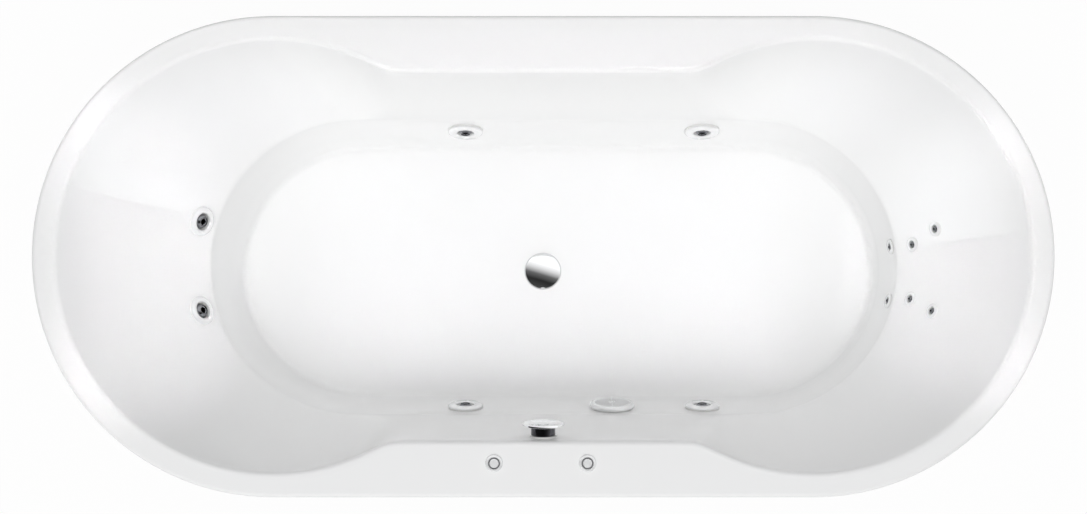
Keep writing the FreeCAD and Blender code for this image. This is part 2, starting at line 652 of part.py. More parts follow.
def make_waste():
    """flange with its neck through the floor, domed plug, body below and low trap"""
    neck = "Sizes.waste_neck_dia / 2"
    neck_bottom = floor_level - size("waste_neck_length")
    flange = turned("waste_flange_ring", [
        (neck + " - Sizes.waste_wall", "-Sizes.waste_neck_length"),
        (neck, "-Sizes.waste_neck_length"),
        (neck, "Sizes.fitting_clear"),
        ("Sizes.waste_flange_dia / 2", "Sizes.fitting_clear"),
        ("Sizes.waste_flange_dia / 2 - Sizes.flange_bevel", "Sizes.waste_flange_thick"),
        (neck, "Sizes.waste_flange_thick"),
        (neck + " - Sizes.waste_wall", "-2 * Sizes.flange_bevel")], waste_place)
    spoke_long = "Sizes.waste_neck_dia - 2 * Sizes.waste_wall + Sizes.cut_over"
    spokes = []
    for turn in (0, 90):
        spin = Rotation(Vector(0, 0, 1), turn)
        corner = spin.multVec(Vector(-number(spoke_long) / 2, -size("spoke_thick") / 2, neck_bottom))
        spokes.append(block("waste_spoke_%d" % turn, spoke_long, "Sizes.spoke_thick", "Sizes.spoke_tall",
                            Placement(corner, spin)))
    boss = rod("waste_boss", "Sizes.plug_stem_dia / 2 + Sizes.waste_wall", "Sizes.boss_tall",
               at(0, 0, neck_bottom))
    guide = rod("waste_guide", "Sizes.plug_stem_dia / 2 + Sizes.shaft_clear", "Sizes.waste_neck_length",
                at(0, 0, neck_bottom - size("cut_over")))
    keep(less("waste_flange_cut", joined("waste_flange_parts", [flange] + spokes + [boss]), [guide]),
         "waste_flange")

    under = "(Sizes.waste_flange_thick + Sizes.plug_rest_gap)"
    plug = turned("plug_cap", [
        ("0", "Sizes.waste_flange_thick - Sizes.plug_stem_length"),
        ("Sizes.plug_stem_dia / 2", "Sizes.waste_flange_thick - Sizes.plug_stem_length"),
        ("Sizes.plug_stem_dia / 2", under),
        ("Sizes.plug_dia / 2 - Sizes.plug_edge_bevel", under),
        ("Sizes.plug_dia / 2", under + " + Sizes.plug_edge_bevel"),
        ("Sizes.plug_dia / 2", under + " + Sizes.plug_edge"),
        ("0", under + " + Sizes.plug_edge")], waste_place)
    ball_radius = "((Sizes.plug_dia / 2) ^ 2 + Sizes.plug_dome ^ 2) / (2 * Sizes.plug_dome)"
    crown = bind(doc.addObject("Part::Sphere", "plug_crown"), Radius=ball_radius)
    dome_top = number(under) + size("plug_edge") + size("plug_dome")
    crown.Placement = moved(waste_place, z=dome_top - number(ball_radius))
    disc = rod("plug_disc", "Sizes.plug_dia / 2", "Sizes.plug_dome + Sizes.cut_over",
               moved(waste_place, z=number(under) + size("plug_edge")))
    cap = joined("plug_domed", [plug, shared("plug_dome_cap", crown, disc)])
    seal = turned("plug_seal", [
        ("Sizes.plug_stem_dia / 2 + Sizes.plug_seal_clear", under + " - Sizes.plug_seal_thick"),
        ("Sizes.plug_seal_dia / 2 - Sizes.plug_edge_bevel", under + " - Sizes.plug_seal_thick"),
        ("Sizes.plug_seal_dia / 2", under),
        ("Sizes.plug_stem_dia / 2 + Sizes.plug_seal_clear", under)], waste_place)
    together("waste_plug", [cap, seal])

    outer = "Sizes.waste_body_dia / 2"
    inner = "(Sizes.waste_neck_dia / 2 + Sizes.thread_clear)"
    below = at(0, 0, 0)
    top = "(Sizes.rim_top - Sizes.basin_depth - Sizes.acrylic - Sizes.laminate_gap - Sizes.laminate)"
    trap_top = "(Sizes.trap_bottom + Sizes.trap_tall)"
    body = turned("waste_body_tube", [
        (inner, top),
        ("Sizes.waste_collar_dia / 2", top),
        ("Sizes.waste_collar_dia / 2", top + " - Sizes.waste_collar_tall"),
        (outer, top + " - Sizes.waste_collar_tall"),
        (outer, trap_top),
        (inner, trap_top)], below)
    forward = facing(Vector(0, -1, 0))
    port_height = size("waste_port_height")
    port = rod("waste_port", "Sizes.hose_dia / 2 + Sizes.socket_wall",
               "Sizes.waste_body_dia / 2 + Sizes.waste_port_reach", at(0, 0, port_height, forward))
    port_bore = rod("waste_port_bore", "Sizes.hose_dia / 2 - Sizes.hose_wall",
                    "Sizes.waste_body_dia + Sizes.cut_reach", at(0, 0, port_height, forward))
    cable_port = rod("waste_cable_port", "Sizes.cable_dia / 2 + Sizes.cable_socket_wall",
                     "Sizes.waste_body_dia / 2 + Sizes.cable_port_reach",
                     at(size("cable_port_offset"), 0, port_height + size("cable_port_rise"), forward))
    core = rod("waste_core", inner, "Sizes.rim_top", at(0, 0, 0))
    keep(less("waste_body_cut", joined("waste_body_parts", [body, port, cable_port]), [core, port_bore]),
         "waste_body")

    cup = turned("trap_cup", [
        ("0", "Sizes.trap_bottom"),
        ("Sizes.trap_dia / 2 - Sizes.trap_bevel", "Sizes.trap_bottom"),
        ("Sizes.trap_dia / 2", "Sizes.trap_bottom + Sizes.trap_bevel"),
        ("Sizes.trap_dia / 2", trap_top),
        ("Sizes.waste_neck_dia / 2", trap_top),
        ("Sizes.waste_neck_dia / 2", trap_top + " - Sizes.waste_wall"),
        ("Sizes.trap_dia / 2 - Sizes.waste_wall", trap_top + " - Sizes.waste_wall"),
        ("Sizes.trap_dia / 2 - Sizes.waste_wall", "Sizes.trap_bottom + Sizes.trap_bevel"),
        ("Sizes.trap_dia / 2 - Sizes.trap_bevel", "Sizes.trap_bottom + Sizes.waste_wall"),
        ("0", "Sizes.trap_bottom + Sizes.waste_wall")], below)
    outlet_place = at(0, size("trap_dia") / 2 - size("trap_outlet_sink"), size("trap_outlet_height"),
                      facing(Vector(0, 1, 0)))
    outlet_long = "Sizes.trap_outlet_reach - Sizes.trap_dia / 2 + Sizes.trap_outlet_sink"
    outlet = rod("trap_outlet", "Sizes.trap_outlet_dia / 2", outlet_long, outlet_place)
    sleeve = rod("trap_outlet_sleeve", "Sizes.trap_outlet_dia / 2 + Sizes.waste_wall",
                 outlet_long + " - Sizes.trap_spigot", outlet_place)
    outlet_bore = rod("trap_outlet_bore", "Sizes.trap_outlet_dia / 2 - Sizes.waste_wall",
                      "Sizes.trap_outlet_reach", outlet_place)
    keep(less("trap_cut", joined("trap_parts", [cup, outlet, sleeve]), [outlet_bore]), "waste_trap")


make_waste()


# ---- overflow -----------------------------------------------------------------------------------

hose_y = -(post_middle + size("post_wide") / 2 - size("hose_dia") / 2 + size("hose_outset"))


def make_overflow():
    """fixed plate and body, the round knob that turns the plug's cable"""
    wall_back = "-Sizes.acrylic - Sizes.laminate_gap - Sizes.laminate"
    neck = "Sizes.overflow_neck_dia / 2 - Sizes.overflow_neck_clear"
    plate = turned("overflow_plate", [
        ("0", wall_back + " - Sizes.knob_shaft_sink"),
        (neck, wall_back + " - Sizes.knob_shaft_sink"),
        (neck, "-Sizes.overflow_plate_sink"),
        ("Sizes.overflow_plate_dia / 2", "-Sizes.overflow_plate_sink"),
        ("Sizes.overflow_plate_dia / 2", "Sizes.overflow_plate_thick"),
        ("0", "Sizes.overflow_plate_thick")], overflow_place)
    socket = rod("overflow_socket", "Sizes.knob_shaft_dia / 2 + Sizes.shaft_clear", "Sizes.cut_reach",
                 moved(overflow_place, z=-2 * size("knob_shaft_sink")))
    rear = turned("overflow_rear", [
        ("0", wall_back + " - Sizes.nut_seat"),
        ("Sizes.overflow_body_dia / 2", wall_back + " - Sizes.nut_seat"),
        ("Sizes.overflow_body_dia / 2", "-Sizes.overflow_body_deep + Sizes.body_bevel"),
        ("Sizes.overflow_body_dia / 2 - Sizes.body_bevel", "-Sizes.overflow_body_deep"),
        ("0", "-Sizes.overflow_body_deep")], overflow_place)
    middle = beyond(overflow_place, size("overflow_body_deep") - size("hose_dia") / 2)
    spout = rod("overflow_spout", "Sizes.hose_dia / 2", "Sizes.overflow_spout_length",
                Placement(middle, facing(Vector(0, 0, -1))))
    cable_socket = rod("overflow_cable_socket", "Sizes.cable_dia / 2 + Sizes.cable_socket_wall",
                       "Sizes.cable_socket_length",
                       Placement(middle + Vector(size("cable_top_offset"), 0, 0), facing(Vector(0, 0, -1))))
    trimmed = shared("overflow_plate_trim", plate, overflow_limit())
    keep(less("overflow_cut", joined("overflow_parts", [trimmed, rear, spout, cable_socket]), [socket]),
         "overflow_body")
    knob = turned("overflow_knob", [
        ("0", "-Sizes.knob_shaft_sink"),
        ("Sizes.knob_shaft_dia / 2", "-Sizes.knob_shaft_sink"),
        ("Sizes.knob_shaft_dia / 2", "Sizes.overflow_plate_thick + Sizes.knob_gap"),
        ("Sizes.knob_body_dia / 2", "Sizes.overflow_plate_thick + Sizes.knob_gap"),
        ("Sizes.knob_body_dia / 2", "Sizes.knob_reach - Sizes.knob_face_thick"),
        ("Sizes.knob_dia / 2", "Sizes.knob_reach - Sizes.knob_face_thick"),
        ("Sizes.knob_dia / 2", "Sizes.knob_reach"),
        ("0", "Sizes.knob_reach")], overflow_place)
    rounded(knob, "Sizes.knob_face_bevel", ring_edge("Sizes.knob_dia / 2", "Sizes.knob_reach"))
    keep(knob, "overflow_knob")
    return middle


def overflow_limit():
    """room for a fitting's front parts: the basin's inside plus the hole through the wall"""
    hole = rod("overflow_hole", "Sizes.overflow_neck_dia / 2 - Sizes.overflow_neck_clear",
               "Sizes.cut_reach", moved(overflow_place, z=size("overflow_plate_sink") - size("cut_reach")))
    return joined("overflow_room", [cavity_clear, hole])


overflow_middle = make_overflow()


def make_hose():
    """overflow hose and the plug's cable, down behind the skirt and under the rail to the waste"""
    level = size("waste_port_height")
    knee = TOP - size("hose_knee_depth")
    run = size("hose_straight")
    top = overflow_middle - Vector(0, 0, size("overflow_spout_length"))
    hose = tube([top, top - Vector(0, 0, run), Vector(top.x, hose_y, knee), Vector(top.x, hose_y, level),
                 Vector(top.x, -size("waste_body_dia") / 2 - size("waste_port_reach"), level)],
                size("hose_dia"), size("hose_wall"), size("pipe_bend"))
    keep(formed("overflow_hose", hose), "overflow_hose")
    start = overflow_middle + Vector(size("cable_top_offset"), 0, -size("cable_socket_length"))
    low = level + size("cable_port_rise")
    aside = size("cable_offset")
    end_x = size("cable_port_offset")
    rail_y = size("rail_spacing") / 2
    port_y = -size("waste_body_dia") / 2 - size("cable_port_reach")
    cable = tube([start, start - Vector(0, 0, run), Vector(aside, hose_y, knee),
                  Vector(aside, hose_y, level), Vector(aside, -rail_y - run, level),
                  Vector(aside, -rail_y + run, level),
                  Vector(end_x, port_y - size("cable_lead"), low), Vector(end_x, port_y, low)],
                 size("cable_dia"), 0, size("cable_bend"))
    keep(formed("bowden_cable", cable), "bowden_cable")


make_hose()


# ---- jets ---------------------------------------------------------------------------------------

jet_back = size("jet_neck_length") + size("jet_chamber_length")
jet_port = size("jet_neck_length") + size("water_dia") / 2 - size("socket_wall") + size("cut_over")
air_port = jet_back - size("air_drop_dia") / 2 - size("air_port_inset")
nut_level = "(Sizes.acrylic + Sizes.laminate_gap + Sizes.laminate + Sizes.nut_seat)"


def make_jet(index, place):
    """fixed flange, neck through the wall and chamber with its ports"""
    name = "jet_%d" % (index + 1)
    flange_dia = "Sizes.foot_jet_flange_dia" if index in foot_jets else "Sizes.jet_flange_dia"
    bore = "Sizes.jet_bore_dia / 2"
    back = "-(Sizes.jet_neck_length + Sizes.jet_chamber_length)"
    flange = turned(name + "_flange", [
        (bore, "-Sizes.flange_root"),
        (flange_dia + " / 2", "-Sizes.flange_root"),
        (flange_dia + " / 2", "Sizes.jet_flange_thick"),
        (bore, "Sizes.jet_flange_thick")], place)
    seated = shared(name + "_seated", flange, cavity_clear)
    rear = turned(name + "_rear", [
        ("0", back),
        ("Sizes.jet_chamber_dia / 2 - Sizes.chamber_bevel", back),
        ("Sizes.jet_chamber_dia / 2", back + " + Sizes.chamber_bevel"),
        ("Sizes.jet_chamber_dia / 2", "-Sizes.jet_neck_length"),
        ("Sizes.jet_neck_dia / 2", "-Sizes.jet_neck_length"),
        ("Sizes.jet_neck_dia / 2", "Sizes.cut_over"),
        ("0", "Sizes.cut_over")], place)
    bored = rod(name + "_bored", bore, "Sizes.jet_neck_length + Sizes.jet_chamber_length + Sizes.cut_reach",
                moved(place, z=-jet_back + size("chamber_floor")))
    ports = []
    if index in foot_jets:
        inner_end = beyond(place, jet_back - size("cut_over"))
        ports.append(rod(name + "_spigot", "Sizes.water_dia / 2 - Sizes.socket_wall",
                         "Sizes.foot_spigot + Sizes.cut_over",
                         Placement(inner_end, facing(inner_end - place.Base))))
    else:
        start = beyond(place, jet_port)
        level = "Sizes.water_height - Sizes.water_dia / 2 - Sizes.socket_length / 2"
        ports.append(rod(name + "_water_port", "Sizes.water_dia / 2 - Sizes.socket_wall",
                         "%s - %.6f" % (level, start.z), at(*start)))
    start = beyond(place, air_port)
    ports.append(rod(name + "_air_port", "Sizes.air_drop_dia / 2 + Sizes.air_port_wall",
                     "Sizes.jet_chamber_dia / 2 + Sizes.air_drop_dia", at(*start)))
    body = less(name + "_body", joined(name + "_parts", [seated, rear] + ports), [bored])
    nut = turned(name + "_nut", [
        ("Sizes.jet_neck_dia / 2 + Sizes.thread_clear", "-" + nut_level + " - Sizes.nut_thick"),
        ("Sizes.nut_dia / 2 - Sizes.nut_grip", "-" + nut_level + " - Sizes.nut_thick"),
        ("Sizes.nut_dia / 2 - Sizes.nut_grip", "-" + nut_level + " - Sizes.nut_washer"),
        ("Sizes.nut_dia / 2", "-" + nut_level + " - Sizes.nut_washer"),
        ("Sizes.nut_dia / 2", "-" + nut_level),
        ("Sizes.jet_neck_dia / 2 + Sizes.thread_clear", "-" + nut_level)], place)
    return body, nut


def make_jet_trim(index, place):
    """turning ring and eyeball nozzle"""
    outer = "Sizes.foot_jet_flange_dia / 2" if index in foot_jets else "Sizes.jet_flange_dia / 2"
    low = "(Sizes.jet_flange_thick + Sizes.jet_ring_gap)"
    ring = turned("jet_ring_%d" % (index + 1), [
        ("Sizes.jet_ring_bore / 2", low),
        (outer, low),
        (outer, low + " + Sizes.ring_edge_tall"),
        (outer + " - Sizes.ring_slope", low + " + Sizes.jet_ring_thick"),
        ("Sizes.jet_ring_bore / 2 + Sizes.ring_bore_bevel", low + " + Sizes.jet_ring_thick"),
        ("Sizes.jet_ring_bore / 2", low + " + Sizes.jet_ring_thick - Sizes.ring_bore_bevel")], place)
    keep(ring, "jet_ring_%d" % (index + 1))
    ball = doc.addObject("Part::Sphere", "jet_ball_%d" % (index + 1))
    bind(ball, Radius="Sizes.eyeball_dia / 2")
    ball.Placement = moved(place, z=-size("eyeball_sink"))
    spout = rod("jet_spout_%d" % (index + 1), "Sizes.eyeball_spout_dia / 2",
                "Sizes.eyeball_sink + Sizes.eyeball_spout", moved(place, z=-size("eyeball_sink")))
    bore = rod("jet_spout_bore_%d" % (index + 1), "Sizes.eyeball_bore / 2", "Sizes.cut_reach",
               moved(place, z=-size("cut_reach") / 2))
    keep(less("jet_eyeball_%d" % (index + 1), joined("jet_eye_%d" % (index + 1), [ball, spout]), [bore]),
         "jet_nozzle_%d" % (index + 1))


jet_pieces = [make_jet(i, place) for i, place in enumerate(jet_places)]
together("jet_bodies", [body for body, nut in jet_pieces])
together("jet_locknuts", [nut for body, nut in jet_pieces])
for i, place in enumerate(jet_places):
    make_jet_trim(i, place)


def make_micro(index, place):
    """small fixed jet at the right end with a side port towards the riser, and its nut"""
    name = "micro_%d" % (index + 1)
    bore = "Sizes.micro_bore_dia / 2"
    flange = turned(name + "_flange", [
        (bore, "-Sizes.micro_flange_root"),
        ("Sizes.micro_flange_dia / 2", "-Sizes.micro_flange_root"),
        ("Sizes.micro_flange_dia / 2", "Sizes.micro_flange_thick - Sizes.micro_flange_bevel"),
        ("Sizes.micro_flange_dia / 2 - Sizes.micro_flange_slope", "Sizes.micro_flange_thick"),
        (bore, "Sizes.micro_flange_thick")], place)
    seated = shared(name + "_seated", flange, cavity_clear)
    rear = turned(name + "_rear", [
        ("0", "-Sizes.micro_length"),
        ("Sizes.micro_neck_dia / 2", "-Sizes.micro_length"),
        ("Sizes.micro_neck_dia / 2", "Sizes.cut_over"),
        ("0", "Sizes.cut_over")], place)
    side = 1 if index % 2 else -1
    port = rod(name + "_port", "Sizes.stub_dia / 2 + Sizes.stub_socket_wall", "Sizes.micro_port",
               Placement(beyond(place, size("riser_setback")), facing(Vector(0, -side, 0))))
    bored = rod(name + "_bored", bore, "Sizes.micro_length + Sizes.cut_reach",
                moved(place, z=size("micro_floor") - size("micro_length")))
    body = less(name + "_body", joined(name + "_parts", [seated, rear, port]), [bored])
    nut = turned(name + "_nut", [
        ("Sizes.micro_neck_dia / 2 + Sizes.thread_clear", "-" + nut_level + " - Sizes.micro_nut_thick"),
        ("Sizes.micro_nut_dia / 2", "-" + nut_level + " - Sizes.micro_nut_thick"),
        ("Sizes.micro_nut_dia / 2", "-" + nut_level),
        ("Sizes.micro_neck_dia / 2 + Sizes.thread_clear", "-" + nut_level)], place)
    ball = bind(doc.addObject("Part::Sphere", name + "_ball"), Radius="Sizes.micro_ball_dia / 2")
    ball.Placement = moved(place, z=-size("micro_ball_sink"))
    spout = rod(name + "_spout", "Sizes.micro_spout_dia / 2", "Sizes.micro_ball_sink + Sizes.micro_spout",
                moved(place, z=-size("micro_ball_sink")))
    hole = rod(name + "_hole", "Sizes.micro_bore / 2", "Sizes.cut_reach",
               moved(place, z=-size("cut_reach") / 2))
    keep(less(name + "_nozzle_cut", joined(name + "_nozzle_parts", [ball, spout]), [hole]),
         "micro_nozzle_%d" % (index + 1))
    return body, nut


micro_pieces = [make_micro(i, place) for i, place in enumerate(micro_places)]
together("micro_jet_bodies", [body for body, nut in micro_pieces])
together("micro_locknuts", [nut for body, nut in micro_pieces])


# ---- suction fitting ----------------------------------------------------------------------------

suction_axis = beyond(suction_place, size("suction_axis_setback"))


def make_suction():
    """fixed body with a downward outlet, screwed grille cover"""
    flange = turned("suction_flange", [
        ("0", "-Sizes.flange_root"),
        ("Sizes.suction_flange_dia / 2", "-Sizes.flange_root"),
        ("Sizes.suction_flange_dia / 2", "Sizes.suction_flange_thick"),
        ("0", "Sizes.suction_flange_thick")], suction_place)
    seated = shared("suction_seated", flange, cavity_clear)
    rear = turned("suction_rear", [
        ("0", "-Sizes.suction_body_deep"),
        ("Sizes.suction_body_dia / 2 - Sizes.body_bevel", "-Sizes.suction_body_deep"),
        ("Sizes.suction_body_dia / 2", "-Sizes.suction_body_deep + Sizes.body_bevel"),
        ("Sizes.suction_body_dia / 2", "-" + nut_level + " - Sizes.nut_seat"),
        ("Sizes.suction_neck_dia / 2", "-" + nut_level + " - Sizes.nut_seat"),
        ("Sizes.suction_neck_dia / 2", "Sizes.cut_over"),
        ("0", "Sizes.cut_over")], suction_place)
    downward = Placement(suction_axis, facing(Vector(0, 0, -1)))
    drop = "Sizes.suction_body_dia / 2 + Sizes.suction_outlet_reach"
    outlet = rod("suction_outlet", "Sizes.suction_pipe_dia / 2 + Sizes.socket_wall", drop, downward)
    outlet_bore = rod("suction_outlet_bore", "Sizes.suction_pipe_dia / 2 - Sizes.socket_wall",
                      drop + " + Sizes.cut_over", downward)
    room_floor = "-Sizes.suction_body_deep + Sizes.chamber_floor"
    boss = "Sizes.suction_screw_dia / 2 + Sizes.screw_boss_wall"
    bored = turned("suction_bored", [
        (boss, room_floor),
        ("Sizes.suction_neck_dia / 2 - Sizes.socket_wall", room_floor),
        ("Sizes.suction_neck_dia / 2 - Sizes.socket_wall", "Sizes.cut_reach"),
        (boss, "Sizes.cut_reach")], suction_place)
    thread = rod("suction_thread", "Sizes.suction_screw_dia / 4 + Sizes.screw_thread_clear",
                 "Sizes.cut_reach", moved(suction_place, z=-size("suction_thread_deep")))
    keep(less("suction_cut", joined("suction_parts", [seated, rear, outlet]), [bored, outlet_bore, thread]),
         "suction_body")
    low = "(Sizes.suction_flange_thick + Sizes.fitting_clear)"
    top = "(Sizes.suction_flange_thick + Sizes.suction_cover_thick)"
    cover = turned("suction_cover_cap", [
        ("0", top + " - Sizes.cover_face_thick"),
        ("Sizes.suction_dia / 2 - Sizes.cover_rim_wide", top + " - Sizes.cover_face_thick"),
        ("Sizes.suction_dia / 2 - Sizes.cover_rim_wide", low),
        ("Sizes.suction_dia / 2", low),
        ("Sizes.suction_dia / 2", low + " + Sizes.cover_edge_tall"),
        ("Sizes.suction_dia / 2 - Sizes.cover_slope", top),
        ("0", top)], suction_place)
    slots = []
    radius = "(Sizes.suction_dia / 2 - Sizes.grille_margin)"
    pitch = size("grille_pitch")
    count = int(number(radius) / pitch)
    slot_floor = number(top) - size("cover_face_thick") - 2 * size("cut_over")
    for step in range(-count, count + 1):
        offset = step * pitch
        if abs(offset) < size("suction_screw_dia"):
            continue
        chord = "2 * sqrt(%s ^ 2 - (%d * Sizes.grille_pitch) ^ 2)" % (radius, step)
        corner = moved(suction_place, -number(chord) / 2, offset - size("grille_slot") / 2, slot_floor)
        slots.append(block("suction_slot_%d" % (step + count), chord, "Sizes.grille_slot",
                           "Sizes.suction_cover_thick + 2 * Sizes.cut_over", corner))
    hole = rod("suction_cover_hole", "Sizes.suction_screw_dia / 4 + Sizes.fitting_clear",
               "Sizes.cut_reach", suction_place)
    keep(less("suction_cover_cut", cover, slots + [hole]), "suction_cover")
    screw = turned("suction_screw", [
        ("0", "-Sizes.suction_screw_deep"),
        ("Sizes.suction_screw_dia / 4", "-Sizes.suction_screw_deep"),
        ("Sizes.suction_screw_dia / 4", top),
        ("Sizes.suction_screw_dia / 2", top),
        ("Sizes.suction_screw_dia / 2 - Sizes.screw_head_bevel", top + " + Sizes.screw_head_tall"),
        ("0", top + " + Sizes.screw_head_tall")], suction_place)
    keep(screw, "suction_screw")
    return number(drop)


suction_drop = make_suction()


# ---- pump ---------------------------------------------------------------------------------------

pump_x = -(HALF_LONG - size("pump_inset"))
pump_whole = size("snout_length") + size("volute_wide") + size("motor_length") + size("fan_cover_deep")
pump_front = -pump_whole / 2
pump_place = at(pump_x, pump_front + size("snout_length"), size("pump_height"),
                facing(Vector(0, 1, 0)))
volute_y = pump_front + size("snout_length") + size("volute_wide") / 2
shelf_top = board_bottom + size("shelf_thick")

manifold_reach = jet_back + size("foot_spigot") + size("water_dia") / 2 + size("manifold_gap")
manifold_spot = beyond(jet_places[4], manifold_reach)
manifold_x = manifold_spot.x
manifold_z = manifold_spot.z


def make_pump():
    """volute in front, motor behind it, fan under a cover; the axis runs along y"""
    shell_r = "Sizes.volute_dia / 2"
    volute = turned("volute_outside", [
        ("0", "-Sizes.snout_length"),
        ("Sizes.suction_pipe_dia / 2 + Sizes.socket_wall", "-Sizes.snout_length"),
        ("Sizes.suction_pipe_dia / 2 + Sizes.socket_wall", "0"),
        (shell_r + " - Sizes.volute_bevel", "0"),
        (shell_r, "Sizes.volute_bevel"),
        (shell_r, "Sizes.volute_wide"),
        ("0", "Sizes.volute_wide")], pump_place)
    above = at(manifold_x, volute_y, size("pump_height"))
    outlet_top = "Sizes.volute_dia / 2 - Sizes.volute_outlet_sink"
    outlet = rod("volute_outlet", "Sizes.water_dia / 2 + Sizes.socket_wall",
                 outlet_top + " + Sizes.volute_socket", above)
    outlet_bore = rod("volute_outlet_bore", "Sizes.water_dia / 2 - Sizes.water_wall", "Sizes.long_cut",
                      above)
    room = turned("volute_room", [
        ("0", "Sizes.volute_wall"),
        (shell_r + " - Sizes.volute_wall", "Sizes.volute_wall"),
        (shell_r + " - Sizes.volute_wall", "Sizes.volute_wide - Sizes.volute_wall"),
        ("0", "Sizes.volute_wide - Sizes.volute_wall")], pump_place)
    inlet = rod("volute_inlet", "Sizes.suction_pipe_dia / 2 - Sizes.socket_wall",
                "3 * Sizes.snout_length", moved(pump_place, z=-2 * size("snout_length")))
    shaft_hole = rod("volute_shaft_hole", "Sizes.shaft_dia / 2 + Sizes.shaft_clear", "Sizes.cut_reach",
                     moved(pump_place, z=size("volute_wide") / 2))
    socket = rod("volute_socket", "Sizes.water_dia / 2 + Sizes.fitting_clear", "Sizes.cut_reach",
                 at(manifold_x, volute_y, size("pump_height") + number(outlet_top)))
    keep(less("volute_cut", joined("volute_parts", [volute, outlet]),
              [room, inlet, shaft_hole, outlet_bore, socket]), "pump_volute")

    start = "Sizes.volute_wide"
    end = "(Sizes.volute_wide + Sizes.motor_length)"
    shaft = "(Sizes.shaft_dia / 2 + Sizes.shaft_clear)"
    housing = turned("motor_outside", [
        ("0", start), ("Sizes.motor_dia / 2", start), ("Sizes.motor_dia / 2", end), ("0", end)], pump_place)
    foot_y = volute_y + size("volute_wide") / 2 + size("motor_foot_start")
    foot = block("motor_foot", "Sizes.motor_foot_wide", "Sizes.motor_foot_long", "Sizes.motor_foot_tall",
                 at(pump_x - size("motor_foot_wide") / 2, foot_y, shelf_top + size("mount_tall")))
    room_wide = "Sizes.motor_dia / 2 - Sizes.motor_wall"
    hollow = turned("motor_room", [
        ("0", start + " + Sizes.motor_end_wall"),
        (room_wide, start + " + Sizes.motor_end_wall"),
        (room_wide, end + " - Sizes.motor_end_wall"),
        ("0", end + " - Sizes.motor_end_wall")], pump_place)
    axle_hole = rod("motor_axle_hole", shaft, "Sizes.long_cut",
                    moved(pump_place, z=size("volute_wide") / 2))
    case = less("motor_case", joined("motor_case_parts", [housing, foot]), [hollow, axle_hole])
    stator = turned("motor_stator", [
        ("Sizes.rotor_core_dia / 2 + Sizes.rotor_air_gap", start + " + Sizes.stator_inset"),
        (room_wide, start + " + Sizes.stator_inset"),
        (room_wide, end + " - Sizes.stator_inset"),
        ("Sizes.rotor_core_dia / 2 + Sizes.rotor_air_gap", end + " - Sizes.stator_inset")], pump_place)
    together("motor_housing", [case, stator])

    axle = "Sizes.shaft_dia / 2"
    disc = "(Sizes.volute_wide / 2 - Sizes.impeller_wide / 2)"
    rotor = turned("pump_rotor", [
        ("0", disc),
        ("Sizes.impeller_dia / 2", disc),
        ("Sizes.impeller_dia / 2", disc + " + Sizes.impeller_wide"),
        (axle, disc + " + Sizes.impeller_wide"),
        (axle, start + " + Sizes.rotor_inset"),
        ("Sizes.rotor_core_dia / 2", start + " + Sizes.rotor_inset"),
        ("Sizes.rotor_core_dia / 2", end + " - Sizes.rotor_inset"),
        (axle, end + " - Sizes.rotor_inset"),
        (axle, end + " + Sizes.fan_gap"),
        ("Sizes.fan_dia / 2", end + " + Sizes.fan_gap"),
        ("Sizes.fan_dia / 2", end + " + Sizes.fan_gap + Sizes.fan_wide"),
        ("0", end + " + Sizes.fan_gap + Sizes.fan_wide")], pump_place)
    keep(rotor, "pump_rotor")
    deep = end + " + Sizes.fan_cover_deep"
    cover = turned("fan_cover_cup", [
        ("Sizes.motor_dia / 2 - Sizes.fan_cover_wall", end),
        ("Sizes.motor_dia / 2", end),
        ("Sizes.motor_dia / 2", deep + " - Sizes.fan_cover_bevel"),
        ("Sizes.motor_dia / 2 - Sizes.fan_cover_bevel", deep),
        ("0", deep),
        ("0", deep + " - Sizes.fan_cover_wall"),
        ("Sizes.motor_dia / 2 - Sizes.fan_cover_turn", deep + " - Sizes.fan_cover_wall"),
        ("Sizes.motor_dia / 2 - Sizes.fan_cover_wall",
         deep + " - Sizes.fan_cover_bevel - Sizes.fan_cover_wall")], pump_place)
    vents = []
    for ring, count in (("inner", 6), ("outer", 12)):
        radius = size("vent_ring_" + ring)
        for i in range(count):
            angle = 2 * math.pi * i / count
            vents.append(rod("fan_vent_%s_%d" % (ring, i), "Sizes.vent_dia / 2", "Sizes.vent_reach",
                             moved(pump_place, radius * math.cos(angle), radius * math.sin(angle),
                                   number(deep) - size("vent_reach") / 2)))
    keep(less("fan_cover_cut", cover, vents), "fan_cover")
    shelf = block("pump_shelf", "Sizes.shelf_long", "Sizes.shelf_wide", "Sizes.shelf_thick",
                  at(pump_x - size("shelf_long") / 2, -size("shelf_wide") / 2, board_bottom))
    keep(shelf, "pump_shelf")
    mounts = []
    for y in (foot_y + size("mount_inset"), foot_y + size("motor_foot_long") - size("mount_inset")):
        for side in (-1, 1):
            mounts.append(rod("mount_%d" % (len(mounts) + 1), "Sizes.mount_dia / 2", "Sizes.mount_tall",
                              at(pump_x + side * size("mount_spread"), y, shelf_top)))
    together("pump_mounts", mounts)


make_pump()


# ---- water and air pipes ------------------------------------------------------------------------

